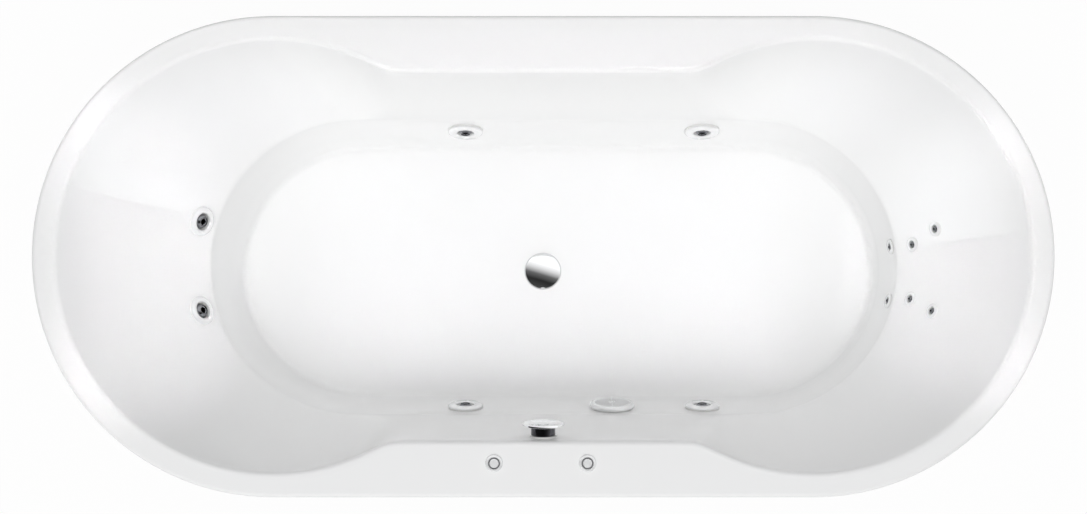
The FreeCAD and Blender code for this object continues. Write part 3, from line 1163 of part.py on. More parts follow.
def make_pipes():
    """manifold at the left end, a line along each side, riser of the small jets, suction line"""
    level = size("water_height")
    outer = size("water_dia")
    wall = size("water_wall")
    socket = size("socket_length")
    lines = []
    ring_y = abs(beyond(jet_places[0], jet_port).y)
    manifold_half = abs(manifold_spot.y) + size("manifold_overhang")
    aside = HALF_LONG - HALF_WIDE - size("line_corner")
    jet_tops = level - outer / 2 - socket / 2

    def branch(point, floor_z, radius):
        return Part.makeCylinder(radius, level - floor_z, Vector(point.x, point.y, floor_z))

    def hollow_branch(point, floor_z, radius):
        over = size("cut_over")
        return Part.makeCylinder(radius, level - floor_z + over, Vector(point.x, point.y, floor_z - over))

    # manifold across the left end, fed by the pump from below
    near_end = Vector(manifold_x, -manifold_half, manifold_z)
    bar = Part.makeCylinder(outer / 2, 2 * manifold_half, near_end, Vector(0, 1, 0))
    bar_bore = Part.makeCylinder(outer / 2 - wall, 2 * manifold_half, near_end, Vector(0, 1, 0))
    feed_foot = Vector(manifold_x, volute_y,
                       size("pump_height") + size("volute_dia") / 2 - size("volute_outlet_sink"))
    feed_tall = manifold_z - feed_foot.z
    feed = Part.makeCylinder(outer / 2, feed_tall, feed_foot)
    feed_bore = Part.makeCylinder(outer / 2 - wall, feed_tall, feed_foot)
    adds = [feed]
    cuts = [bar_bore, feed_bore]
    for index in foot_jets:
        place = jet_places[index]
        away = place.Rotation.multVec(Vector(0, 0, 1))
        spot = beyond(place, manifold_reach)
        stub = outer / 2 + size("manifold_gap")
        adds.append(Part.makeCylinder(outer / 2, stub, spot, away))
        cuts.append(Part.makeCylinder(outer / 2 - size("socket_wall"), stub + size("cut_over"), spot, away))
    solid = bar.multiFuse(adds)
    for cut in cuts:
        solid = solid.cut(cut)
    keep(formed("water_manifold", solid.Solids[0]), "water_manifold")

    # long lines under both sides, the back one runs on to the riser
    riser_low = size("micro_low_depth") + size("riser_foot_extra")
    riser_high = size("micro_high_depth") - size("riser_head_extra")
    bottom = beyond(wall_place("right", size("micro_middle"), riser_low), size("riser_setback"))
    top = beyond(wall_place("right", size("micro_middle"), riser_high), size("riser_setback"))
    feed_level = size("riser_feed_height")
    share = (feed_level - bottom.z) / (top.z - bottom.z)
    joint = bottom + (top - bottom) * share
    line_end = size("jet_right") + size("line_overrun")
    socket_reach = size("riser_dia") / 2 + size("riser_socket")
    bend = size("line_bend")
    for side in (-1, 1):
        points = [Vector(manifold_x, side * manifold_half, manifold_z),
                  Vector(manifold_x, side * (manifold_half + size("line_corner_run")), manifold_z),
                  Vector(-aside, side * ring_y, level),
                  Vector(line_end, side * ring_y, level)]
        pipe = tube(points, outer, wall, bend)
        stubs = []
        bores = []
        for place in jet_places[:4]:
            spot = beyond(place, jet_port)
            if spot.y * side > 0:
                stubs.append(branch(spot, jet_tops, outer / 2))
                bores.append(hollow_branch(spot, jet_tops, outer / 2 - size("socket_wall")))
        pipe = pipe.multiFuse(stubs)
        for bore in bores:
            pipe = pipe.cut(bore)
        lines.append(formed("water_line_%s" % ("front" if side < 0 else "back"), pipe.Solids[0]))
    thin = size("branch_dia")
    branch_points = [Vector(line_end, ring_y, level),
                     Vector(aside + size("branch_start"), ring_y, level),
                     Vector(joint.x - size("branch_offset"), size("branch_turn_y"), feed_level),
                     Vector(joint.x, size("branch_near_y"), feed_level),
                     Vector(joint.x, joint.y + socket_reach, feed_level)]
    lines.append(formed("water_branch", tube(branch_points, thin, wall, bend)))
    together("water_pipes", lines)

    # riser behind the small jets, one stub to each
    axis = top - bottom
    cap = size("riser_cap")
    riser = Part.makeCylinder(size("riser_dia") / 2, axis.Length, bottom, axis)
    riser_bore = Part.makeCylinder(size("riser_dia") / 2 - wall, axis.Length - 2 * cap,
                                   bottom + axis * (cap / axis.Length), axis)
    adds = [Part.makeCylinder(thin / 2 + size("riser_socket_wall"), socket_reach, joint, Vector(0, 1, 0))]
    for i, place in enumerate(micro_places):
        side = 1 if i % 2 else -1
        spot = beyond(place, size("riser_setback"))
        near = bottom + axis * ((spot.z - bottom.z) / axis.z)
        reach = abs(spot.y - near.y) - size("micro_port")
        adds.append(Part.makeCylinder(size("stub_dia") / 2, reach, Vector(spot.x, near.y, spot.z),
                                      Vector(0, side, 0)))
    solid = riser.multiFuse(adds).cut(riser_bore)
    solid = solid.cut(Part.makeCylinder(thin / 2 - wall, socket_reach + size("cut_over"), joint,
                                        Vector(0, 1, 0)))
    keep(formed("micro_jet_riser", solid.Solids[0]), "micro_jet_riser")

    # suction line along the front to the pump's inlet
    low = rail_bottom + size("suction_line_lift") + size("suction_pipe_dia") / 2
    start = Vector(suction_axis.x, suction_axis.y, suction_axis.z - suction_drop)
    points = [start, Vector(start.x, start.y, low), Vector(-aside, start.y, low),
              Vector(pump_x, pump_front - size("suction_line_lead"), size("pump_height")),
              Vector(pump_x, pump_front, size("pump_height"))]
    keep(formed("suction_pipe", tube(points, size("suction_pipe_dia"), size("suction_pipe_wall"),
                                     size("pipe_bend"))), "suction_pipe")


make_pipes()


def make_air():
    """air loop round the bath with a drop to every jet, and the inlet from the deck control"""
    level = size("air_height")
    outer = size("air_dia")
    port_tops = [beyond(place, air_port) + Vector(0, 0, size("jet_chamber_dia") / 2 + size("air_drop_dia"))
                 for place in jet_places]
    side_y = abs(port_tops[0].y)
    foot = port_tops[4]
    end = size("jet_right") + size("air_overrun")
    aside = HALF_LONG - HALF_WIDE - size("air_corner")
    middle = Vector((foot.x - aside) / 2 - size("air_middle_x"),
                    (side_y + abs(foot.y)) / 2 + size("air_middle_y"), level)
    half = [Vector(end, side_y, level), Vector(-aside, side_y, level), middle,
            Vector(foot.x, abs(foot.y), level)]
    points = half + [Vector(point.x, -point.y, level) for point in reversed(half)]
    loop = tube(points, outer, size("air_wall"), size("air_bend"))
    underside = level - outer / 2 + size("cut_over")
    drops = [Part.makeCylinder(size("air_drop_dia") / 2, underside - spot.z, spot) for spot in port_tops]
    loop = loop.multiFuse(drops)
    valve = button_places[1].Base
    bottom = valve.z - size("button_neck_length") - size("button_tail")
    inlet = tube([Vector(valve.x, valve.y, bottom),
                  Vector(valve.x, valve.y, bottom - size("inlet_straight")),
                  Vector(valve.x, -side_y, bottom - size("inlet_knee")),
                  Vector(valve.x, -side_y, level + outer / 2 - size("cut_over"))],
                 size("air_inlet_dia"), 0, size("pipe_bend"))
    loop = loop.fuse(inlet)
    button = button_places[0].Base
    box_top = box_place.Base.z + size("box_tall")
    outside = -(side_y + outer / 2 + size("signal_outset"))
    port_y = box_place.Base.y + size("signal_port_inset")
    signal = tube([Vector(button.x, button.y, bottom),
                   Vector(button.x, button.y, bottom - size("signal_straight")),
                   Vector(button.x, outside, bottom - size("signal_knee")),
                   Vector(button.x, outside, level - size("signal_drop")),
                   Vector(button.x, port_y, level - size("signal_fall")),
                   Vector(button.x, port_y, box_top)],
                  size("tube_dia"), 0, size("pipe_bend"))
    together("air_lines", [formed("air_loop", loop.Solids[0]), formed("button_tube", signal)])


box_place = at(-size("cross_middle") - size("box_long") / 2, -(post_middle - size("post_wide") / 2),
               size("box_height"))


def make_box():
    """pneumatic switch box on the left front post, its cable gland clear of the frame below"""
    case = block("switch_case", "Sizes.box_long", "Sizes.box_wide", "Sizes.box_tall", box_place)
    middle = box_place.Base + Vector(size("gland_inset"), size("gland_setback"), 0)
    downward = facing(Vector(0, 0, -1))
    gland = rod("switch_gland", "Sizes.gland_dia / 2", "Sizes.gland_length + Sizes.cut_over",
                Placement(middle + Vector(0, 0, size("cut_over")), downward))
    bore = rod("switch_gland_bore", "Sizes.gland_dia / 2 - Sizes.gland_wall",
               "Sizes.gland_length + Sizes.cut_over", Placement(middle, downward))
    keep(less("switch_cut", joined("switch_parts", [case, gland]), [bore]), "switch_box")


make_box()
make_air()


# ---- deck controls ------------------------------------------------------------------------------

def make_control(place, cap_label, body_label, pointer):
    """chrome bezel on the deck, neck below it and the cap in its well"""
    cap = turned(cap_label + "_turned", [
        ("0", "-Sizes.cap_deep"),
        ("Sizes.cap_dia / 2", "-Sizes.cap_deep"),
        ("Sizes.cap_dia / 2", "Sizes.cap_rise - Sizes.cap_bevel"),
        ("Sizes.cap_dia / 2 - Sizes.cap_bevel", "Sizes.cap_rise"),
        ("0", "Sizes.cap_rise")], place)
    if pointer:
        notch = block(cap_label + "_notch", "Sizes.notch_wide", "Sizes.cap_dia / 2",
                      "Sizes.notch_deep + Sizes.cut_over",
                      moved(place, -size("notch_wide") / 2, 0, size("cap_rise") - size("notch_deep")))
        cap = less(cap_label + "_cut", cap, [notch])
    keep(cap, cap_label)
    bore = "(Sizes.cap_dia / 2 + Sizes.shaft_clear)"
    neck = "Sizes.button_neck_dia / 2 - Sizes.fitting_clear"
    body = turned(body_label + "_turned", [
        ("0", "-Sizes.button_neck_length"),
        ("Sizes.tube_dia / 2 + Sizes.tail_wall", "-Sizes.button_neck_length - Sizes.button_tail"),
        (neck, "-Sizes.button_neck_length + Sizes.button_taper"),
        (neck, "0"),
        ("Sizes.bezel_dia / 2", "0"),
        ("Sizes.bezel_dia / 2", "Sizes.bezel_edge"),
        ("Sizes.bezel_dia / 2 - Sizes.bezel_slope", "Sizes.bezel_rise"),
        ("Sizes.well_dia / 2", "Sizes.bezel_rise"),
        ("Sizes.well_dia / 2", "-Sizes.well_sink"),
        (bore, "-Sizes.well_sink"),
        (bore, "-Sizes.cap_bore_deep"),
        ("0", "-Sizes.cap_bore_deep")], place)
    keep(body, body_label)


make_control(button_places[0], "button_cap", "button_body", False)
make_control(button_places[1], "air_knob", "air_valve_body", True)


# ---- checks and files ---------------------------------------------------------------------------

doc.recompute()
bad = [thing.Name for thing in doc.Objects if "Invalid" in thing.State or "Error" in thing.State]
if bad:
    raise RuntimeError("these failed: %s" % bad)
for thing in subparts:
    if thing.Shape.isNull() or not thing.Shape.isValid() or not thing.Shape.Solids:
        raise RuntimeError("%s has no valid solid" % thing.Label)
os.makedirs("parts", exist_ok=True)
for thing in subparts:
    thing.Shape.exportStep(os.path.join("parts", thing.Label + ".step"))
print(len(subparts), "sub-parts written")
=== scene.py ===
import bmesh
import bpy
import json
import math
from mathutils import Matrix, Vector


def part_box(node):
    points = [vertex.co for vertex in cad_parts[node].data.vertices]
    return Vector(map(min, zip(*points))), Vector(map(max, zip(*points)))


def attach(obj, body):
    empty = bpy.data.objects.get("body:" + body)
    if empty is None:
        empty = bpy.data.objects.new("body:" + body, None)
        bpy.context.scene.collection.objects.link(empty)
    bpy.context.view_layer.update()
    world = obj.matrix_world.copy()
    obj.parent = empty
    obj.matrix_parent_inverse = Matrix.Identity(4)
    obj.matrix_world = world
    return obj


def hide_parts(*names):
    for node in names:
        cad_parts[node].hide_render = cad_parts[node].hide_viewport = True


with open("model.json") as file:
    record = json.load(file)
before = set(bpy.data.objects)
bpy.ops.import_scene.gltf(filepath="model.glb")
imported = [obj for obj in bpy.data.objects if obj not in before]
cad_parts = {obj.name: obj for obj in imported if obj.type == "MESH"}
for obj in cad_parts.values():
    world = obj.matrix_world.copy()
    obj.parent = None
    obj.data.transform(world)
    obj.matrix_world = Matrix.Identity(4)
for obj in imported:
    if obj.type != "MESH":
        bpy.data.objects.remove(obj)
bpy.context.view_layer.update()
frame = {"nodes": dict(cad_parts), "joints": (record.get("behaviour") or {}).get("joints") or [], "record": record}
scene = bpy.context.scene
nodes = frame["nodes"]
joints = {joint["child"]: joint for joint in frame["joints"]}
print("frame loaded:", len(nodes), "nodes")

# camera: straight down over the bath, a little nearer the overflow side
cameraView = {"x": -0.00365, "y": -0.1635, "height": 3.037, "lens": 48.67, "shiftX": 0.0023, "shiftY": 0.0902}
bpy.ops.object.select_all(action="DESELECT")
bpy.ops.object.camera_add(location=(cameraView["x"], cameraView["y"], cameraView["height"]),
                          rotation=(0, 0, 0))
camera = bpy.context.object
camera.data.lens = cameraView["lens"]
camera.data.shift_x = cameraView["shiftX"]
camera.data.shift_y = cameraView["shiftY"]
scene.camera = camera
scene.view_settings.view_transform = "Standard"
print("camera placed")


# ways of working that several pieces share

def clearSelection():
    if bpy.context.mode != "OBJECT":
        bpy.ops.object.mode_set(mode="OBJECT")
    bpy.ops.object.select_all(action="DESELECT")


def choose(piece):
    clearSelection()
    piece.select_set(True)
    bpy.context.view_layer.objects.active = piece


def applyModifier(piece, kind, **values):
    choose(piece)
    bpy.ops.object.modifier_add(type=kind)
    modifier = piece.modifiers[-1]
    for key, value in values.items():
        setattr(modifier, key, value)
    bpy.ops.object.modifier_apply(modifier=modifier.name)


def softEdges(piece, width, segments=3, angle=30):
    applyModifier(piece, "BEVEL", width=width, segments=segments, limit_method="ANGLE",
                  angle_limit=math.radians(angle), use_clamp_overlap=True)


def smoothShade(piece, angle=35):
    choose(piece)
    bpy.ops.object.shade_smooth_by_angle(angle=math.radians(angle))


def cleanSurface(piece, distance=0.00001):
    choose(piece)
    bpy.ops.object.mode_set(mode="EDIT")
    bpy.ops.mesh.select_all(action="SELECT")
    bpy.ops.mesh.remove_doubles(threshold=distance)
    bpy.ops.mesh.normals_make_consistent(inside=False)
    bpy.ops.object.mode_set(mode="OBJECT")


def framed(point, axis, up=(0, 0, 1)):
    # local z along the axis, local y as near up as it goes
    zAxis = Vector(axis).normalized()
    xAxis = Vector(up).cross(zAxis)
    if xAxis.length < 0.00001:
        xAxis = Vector((1, 0, 0))
    xAxis.normalize()
    yAxis = zAxis.cross(xAxis)
    turn = Matrix((xAxis, yAxis, zAxis)).transposed().to_4x4()
    return Matrix.Translation(Vector(point)) @ turn


def jointPlace(body):
    return framed(joints[body]["pos_m"], joints[body]["axis"])


def turnedPiece(name, profile, corners=96):
    # a lathe shape: one circle, pulled up and resized from ring to ring, poles merged
    clearSelection()
    startPole = profile[0][0] == 0
    rings = profile[1:] if startPole else profile
    bpy.ops.mesh.primitive_circle_add(vertices=corners, radius=rings[0][0], fill_type="NOTHING",
                                      location=(0, 0, 0))
    piece = bpy.context.object
    piece.name = name
    bpy.ops.object.mode_set(mode="EDIT")
    bpy.ops.mesh.select_mode(type="VERT")
    bpy.ops.mesh.select_all(action="SELECT")
    bpy.ops.transform.translate(value=(0, 0, rings[0][1]))
    if startPole:
        bpy.ops.mesh.extrude_edges_move()
        bpy.ops.transform.translate(value=(0, 0, profile[0][1] - rings[0][1]))
        bpy.ops.mesh.merge(type="CENTER")
        bpy.ops.mesh.select_all(action="DESELECT")
        work = bmesh.from_edit_mesh(piece.data)
        for vertex in work.verts:
            vertex.select = vertex.index < corners
        work.select_flush(True)
        bmesh.update_edit_mesh(piece.data)
    radius, height = rings[0]
    for nextRadius, nextHeight in rings[1:]:
        bpy.ops.mesh.extrude_edges_move()
        bpy.ops.transform.translate(value=(0, 0, nextHeight - height))
        if nextRadius == 0:
            bpy.ops.mesh.merge(type="CENTER")
        else:
            ratio = nextRadius / radius
            bpy.ops.transform.resize(value=(ratio, ratio, 1), center_override=(0, 0, nextHeight))
        radius, height = nextRadius, nextHeight
    bpy.ops.object.mode_set(mode="OBJECT")
    cleanSurface(piece)
    return piece


def dressed(piece, finish, body, slot, *replaced):
    piece.data.materials.clear()
    piece.data.materials.append(finish)
    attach(piece, body)
    if replaced:
        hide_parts(*replaced)
    return piece


def discard(piece):
    bpy.data.objects.remove(piece, do_unlink=True)


def cutAway(piece, tool):
    applyModifier(piece, "BOOLEAN", operation="DIFFERENCE", solver="EXACT", object=tool)
    discard(tool)


def joinedPiece(name, parts):
    clearSelection()
    for part in parts:
        part.select_set(True)
    bpy.context.view_layer.objects.active = parts[0]
    bpy.ops.object.join()
    parts[0].name = name
    return parts[0]


# finishes

def newFinish(name, colour, roughness, metallic=0.0, coat=0.0):
    finish = bpy.data.materials.new(name)
    finish.use_nodes = True
    shader = finish.node_tree.nodes["Principled BSDF"]
    shader.inputs["Base Color"].default_value = (*colour, 1)
    shader.inputs["Roughness"].default_value = roughness
    shader.inputs["Metallic"].default_value = metallic
    shader.inputs["Coat Weight"].default_value = coat
    shader.inputs["Coat Roughness"].default_value = 0.06
    return finish


def patternNode(finish, kind, scale, stretch=(1, 1, 1), **values):
    tree = finish.node_tree
    place = tree.nodes.new("ShaderNodeTexCoord")
    mapping = tree.nodes.new("ShaderNodeMapping")
    mapping.inputs["Scale"].default_value = stretch
    pattern = tree.nodes.new(kind)
    pattern.inputs["Scale"].default_value = scale
    for key, value in values.items():
        pattern.inputs[key].default_value = value
    tree.links.new(place.outputs["Object"], mapping.inputs["Vector"])
    tree.links.new(mapping.outputs["Vector"], pattern.inputs["Vector"])
    return pattern


def addRelief(finish, pattern, strength, depth, output=0):
    tree = finish.node_tree
    shader = tree.nodes["Principled BSDF"]
    bump = tree.nodes.new("ShaderNodeBump")
    bump.inputs["Strength"].default_value = strength
    bump.inputs["Distance"].default_value = depth
    tree.links.new(pattern.outputs[output], bump.inputs["Height"])
    if shader.inputs["Normal"].is_linked:
        tree.links.new(shader.inputs["Normal"].links[0].from_socket, bump.inputs["Normal"])
    tree.links.new(bump.outputs["Normal"], shader.inputs["Normal"])


def addColours(finish, pattern, first, second, low=0.35, high=0.65, output=0):
    tree = finish.node_tree
    ramp = tree.nodes.new("ShaderNodeValToRGB")
    ramp.color_ramp.elements[0].position = low
    ramp.color_ramp.elements[0].color = (*first, 1)
    ramp.color_ramp.elements[1].position = high
    ramp.color_ramp.elements[1].color = (*second, 1)
    tree.links.new(pattern.outputs[output], ramp.inputs["Fac"])
    tree.links.new(ramp.outputs["Color"], tree.nodes["Principled BSDF"].inputs["Base Color"])


def addGlossRange(finish, pattern, low, high, output=0):
    tree = finish.node_tree
    spread = tree.nodes.new("ShaderNodeMapRange")
    spread.inputs["From Min"].default_value = 0.3
    spread.inputs["From Max"].default_value = 0.7
    spread.inputs["To Min"].default_value = low
    spread.inputs["To Max"].default_value = high
    tree.links.new(pattern.outputs[output], spread.inputs["Value"])
    tree.links.new(spread.outputs["Result"], tree.nodes["Principled BSDF"].inputs["Roughness"])


def acrylicFinish():
    finish = newFinish("glossAcrylic", (0.948, 0.949, 0.949), 0.16, coat=0.25)
    haze = patternNode(finish, "ShaderNodeTexNoise", 3.2, Detail=3.0)
    addGlossRange(finish, haze, 0.13, 0.20)
    peel = patternNode(finish, "ShaderNodeTexNoise", 95, Detail=2.0)
    addRelief(finish, peel, 0.05, 0.0002)
    return finish


def laminateFinish():
    finish = newFinish("choppedStrandLaminate", (0.72, 0.73, 0.66), 0.45)
    strands = patternNode(finish, "ShaderNodeTexVoronoi", 120, stretch=(1, 2.6, 1))
    addColours(finish, strands, (0.78, 0.79, 0.73), (0.62, 0.64, 0.55), 0.1, 0.8)
    rough = patternNode(finish, "ShaderNodeTexNoise", 60, Detail=8.0, Roughness=0.65)
    addRelief(finish, rough, 0.7, 0.0015)
    addRelief(finish, strands, 0.3, 0.0006)
    return finish


def metalFinish(name, colour, scale, detail, gloss, metallic=1.0):
    # smooth metal whose shine varies a little with smudges
    finish = newFinish(name, colour, sum(gloss) / 2, metallic=metallic)
    smudge = patternNode(finish, "ShaderNodeTexNoise", scale, Detail=detail)
    addGlossRange(finish, smudge, *gloss)
    return finish


def whitePlasticFinish():
    finish = newFinish("whiteMouldedPlastic", (0.83, 0.83, 0.82), 0.32, coat=0.1)
    grain = patternNode(finish, "ShaderNodeTexNoise", 900, Detail=2.0)
    addRelief(finish, grain, 0.12, 0.0002)
    flow = patternNode(finish, "ShaderNodeTexNoise", 14, Detail=2.0)
    addColours(finish, flow, (0.85, 0.85, 0.845), (0.79, 0.79, 0.775))
    return finish


def greyPipeFinish():
    finish = newFinish("greyRigidPipe", (0.42, 0.44, 0.46), 0.30, coat=0.1)
    drawn = patternNode(finish, "ShaderNodeTexNoise", 24, Detail=5.0)
    addColours(finish, drawn, (0.46, 0.48, 0.50), (0.37, 0.39, 0.41))
    scuff = patternNode(finish, "ShaderNodeTexNoise", 420, Detail=4.0)
    addGlossRange(finish, scuff, 0.24, 0.42)
    addRelief(finish, scuff, 0.08, 0.0002)
    return finish


def milkyHoseFinish():
    finish = newFinish("milkyAirHose", (0.66, 0.72, 0.75), 0.22)
    shader = finish.node_tree.nodes["Principled BSDF"]
    shader.inputs["Subsurface Weight"].default_value = 0.25
    shader.inputs["Subsurface Scale"].default_value = 0.004
    cloud = patternNode(finish, "ShaderNodeTexNoise", 40, Detail=3.0)
    addColours(finish, cloud, (0.70, 0.76, 0.78), (0.60, 0.67, 0.71))
    addRelief(finish, patternNode(finish, "ShaderNodeTexNoise", 300, Detail=2.0), 0.1, 0.0002)
    return finish


def wastePlasticFinish():
    finish = newFinish("wasteFittingPlastic", (0.74, 0.74, 0.72), 0.42)
    flow = patternNode(finish, "ShaderNodeTexNoise", 30, Detail=4.0)
    addColours(finish, flow, (0.77, 0.77, 0.755), (0.70, 0.70, 0.68))
    addRelief(finish, patternNode(finish, "ShaderNodeTexNoise", 1100, Detail=2.0), 0.2, 0.0002)
    return finish


def zincFinish(name="zincCoatedTube", light=(0.60, 0.61, 0.62), dark=(0.45, 0.46, 0.48), gloss=(0.28, 0.46)):
    finish = newFinish(name, light, 0.35, metallic=0.9)
    spangle = patternNode(finish, "ShaderNodeTexVoronoi", 90)
    addColours(finish, spangle, light, dark, 0.0, 0.9)
    wear = patternNode(finish, "ShaderNodeTexNoise", 70, Detail=6.0)
    addGlossRange(finish, wear, *gloss)
    addRelief(finish, wear, 0.12, 0.0003)
    return finish


def plywoodFinish():
    finish = newFinish("sealedPlywood", (0.55, 0.38, 0.21), 0.5)
    grain = patternNode(finish, "ShaderNodeTexNoise", 26, stretch=(0.6, 9, 14), Detail=7.0, Distortion=0.6)
    addColours(finish, grain, (0.60, 0.42, 0.24), (0.40, 0.26, 0.13), 0.3, 0.7)
    addRelief(finish, grain, 0.25, 0.0004)
    addGlossRange(finish, grain, 0.42, 0.6)
    return finish


def motorPaintFinish():
    finish = newFinish("castingPaint", (0.035, 0.05, 0.075), 0.38, coat=0.2)
    cast = patternNode(finish, "ShaderNodeTexNoise", 380, Detail=5.0)
    addRelief(finish, cast, 0.3, 0.0004)
    tint = patternNode(finish, "ShaderNodeTexNoise", 30, Detail=3.0)
    addColours(finish, tint, (0.04, 0.055, 0.08), (0.025, 0.036, 0.055))
    return finish


def blackPlasticFinish():
    finish = newFinish("blackMouldedPlastic", (0.022, 0.022, 0.024), 0.42)
    grain = patternNode(finish, "ShaderNodeTexNoise", 1000, Detail=2.0)
    addRelief(finish, grain, 0.3, 0.0003)
    dust = patternNode(finish, "ShaderNodeTexNoise", 40, Detail=5.0)
    addColours(finish, dust, (0.020, 0.020, 0.022), (0.038, 0.038, 0.040), 0.4, 0.75)
    return finish


def turnedSteelFinish():
    finish = newFinish("turnedSteel", (0.52, 0.52, 0.53), 0.28, metallic=1.0)
    tool = patternNode(finish, "ShaderNodeTexNoise", 60, stretch=(1, 40, 1), Detail=3.0)
    addGlossRange(finish, tool, 0.20, 0.36)
    addRelief(finish, tool, 0.1, 0.0002)
    return finish


def rubberFinish(name, colour, roughness, scale, detail, relief, gloss=None):
    # soft matt skin with a fine grain, and uneven shine where a gloss range is given
    finish = newFinish(name, colour, roughness)
    grain = patternNode(finish, "ShaderNodeTexNoise", scale, Detail=detail)
    addRelief(finish, grain, *relief)
    if gloss:
        addGlossRange(finish, grain, *gloss)
    return finish


finishes = {
    "acrylic_white": acrylicFinish(), "fibreglass": laminateFinish(), "plywood": plywoodFinish(),
    "zinc_steel": zincFinish(),
    "foot_steel": zincFinish("platedScrew", (0.66, 0.66, 0.64), (0.56, 0.56, 0.54), (0.2, 0.34)),
    "chrome": metalFinish("polishedChrome", (0.93, 0.935, 0.945), 45, 4.0, (0.03, 0.085)),
    "satin_nozzle": metalFinish("satinChromedPlastic", (0.80, 0.81, 0.83), 160, 3.0, (0.14, 0.24)),
    "jet_plastic": whitePlasticFinish(),
    "pipe_grey": greyPipeFinish(), "clear_tube": milkyHoseFinish(), "waste_plastic": wastePlasticFinish(),
    "cable_black": rubberFinish("cableSheath", (0.02, 0.02, 0.021), 0.5, 350, 2.0, (0.25, 0.0003), (0.42, 0.6)),
    "motor_paint": motorPaintFinish(), "pump_plastic": blackPlasticFinish(), "rotor_steel": turnedSteelFinish(),
    "rubber": rubberFinish("blackRubber", (0.018, 0.018, 0.018), 0.72, 700, 4.0, (0.35, 0.0004), (0.62, 0.82)),
}
slotOf = {part["node"]: part["material_slot"] for part in frame["record"]["subparts"]}
for nodeName, nodeObject in nodes.items():
    nodeObject.data.materials.clear()
    nodeObject.data.materials.append(finishes[slotOf[nodeName]])
    smoothShade(nodeObject, 30)
print("finishes assigned:", len(finishes))

# the acrylic shell

bathForm = {
    "top": 0.600, "halfLong": 0.850, "halfWide": 0.400, "endDeck": 0.028, "sideDeck": 0.082,
    "lip": 0.011, "rimRound": 0.007, "skirt": 0.035, "sheet": 0.0056,
    "depth": 0.430, "ledge": 0.295, "bow": 0.85,
    "ledgeSide": 0.126, "ledgeLeft": 0.231, "ledgeRight": 0.191,
    "floorSide": 0.160, "floorLeft": 0.269, "floorRight": 0.212,
    "floorRound": 0.016, "drainHole": 0.0225,
    "arcSteps": 96, "sideSteps": 34, "easeRounds": 2, "leanDepth": 0.03, "lipSteps": 9, "rimSteps": 6,
    "deckShares": (0.06, 0.35, 0.65, 0.94),
    "wallDepths": (0.016, 0.03, 0.05, 0.075, 0.10, 0.13, 0.16, 0.19, 0.22, 0.245, 0.265, 0.278, 0.287, 0.293,
                   0.298, 0.304, 0.312, 0.322, 0.334, 0.348, 0.362, 0.374, 0.385, 0.394),
    "floorSteps": 8, "floorShares": (0.05, 0.15, 0.3, 0.45, 0.6, 0.72, 0.82, 0.9, 0.96, 1.0),
    "dish": 0.0008, "dishStart": 0.9,
}


def basinRow(depth):
    # half width of the sides, then centre and radius of each end
    form = bathForm
    wide, long = form["halfWide"], form["halfLong"]
    mouthRadius = wide - form["endDeck"] - form["lip"]
    mouth = (wide - form["sideDeck"] - form["lip"], -(long - wide), mouthRadius, long - wide, mouthRadius)
    ledgeRadius = wide - form["ledgeSide"]
    ledge = (ledgeRadius, -(long - form["ledgeLeft"] - ledgeRadius), ledgeRadius,
             long - form["ledgeRight"] - ledgeRadius, ledgeRadius)
    floorRadius = wide - form["floorSide"]
    floor = (floorRadius, -(long - form["floorLeft"] - floorRadius), floorRadius,
             long - form["floorRight"] - floorRadius, floorRadius)
    if depth <= form["ledge"]:
        share = max(depth / form["ledge"], 0)
        half = mouth[0] + (ledge[0] - mouth[0]) * share ** form["bow"]
        return [half] + [a + (b - a) * share for a, b in zip(mouth[1:], ledge[1:])]
    share = (depth - form["ledge"]) / (form["depth"] - form["ledge"])
    hollow = (1 - min(share, 1) ** 1.15) ** 0.8
    return [b + (a - b) * hollow for a, b in zip(ledge, floor)]


def ringPoints(row, grow=0.0):
    # right arc from front to back, back side, left arc, front side
    half, left, leftRadius, right, rightRadius = row
    arcSteps, sideSteps = bathForm["arcSteps"], bathForm["sideSteps"]
    points = []
    for centre, radius, way in ((right, rightRadius, 1), (left, leftRadius, -1)):
        reach = math.pi - math.asin(min(half / radius, 1))
        arc = []
        for step in range(arcSteps + 1):
            angle = -reach + 2 * reach * step / arcSteps
            arc.append(Vector((centre + way * (radius + grow) * math.cos(angle),
                               way * (radius + grow) * math.sin(angle))))
        if half / radius < 1:
            edge = (half + grow) * way
            arc[0].y, arc[-1].y = -edge, edge
            back = math.sqrt(max((radius + grow) ** 2 - (half + grow) ** 2, 0))
            arc[0].x = arc[-1].x = centre - way * back
        points.append(arc)
    right, left = points
    back = [right[-1].lerp(left[0], step / sideSteps) for step in range(1, sideSteps)]
    front = [left[-1].lerp(right[0], step / sideSteps) for step in range(1, sideSteps)]
    return right + back + left + front


def eased(points, rounds, weight=0.5):
    # softens the corners where the arcs meet the sides
    count = len(points)
    for turn in range(rounds):
        points = [points[i].lerp((points[i - 1] + points[(i + 1) % count]) / 2, weight) for i in range(count)]
    return points


def easedRow(depth):
    return eased(ringPoints(basinRow(depth)), bathForm["easeRounds"])


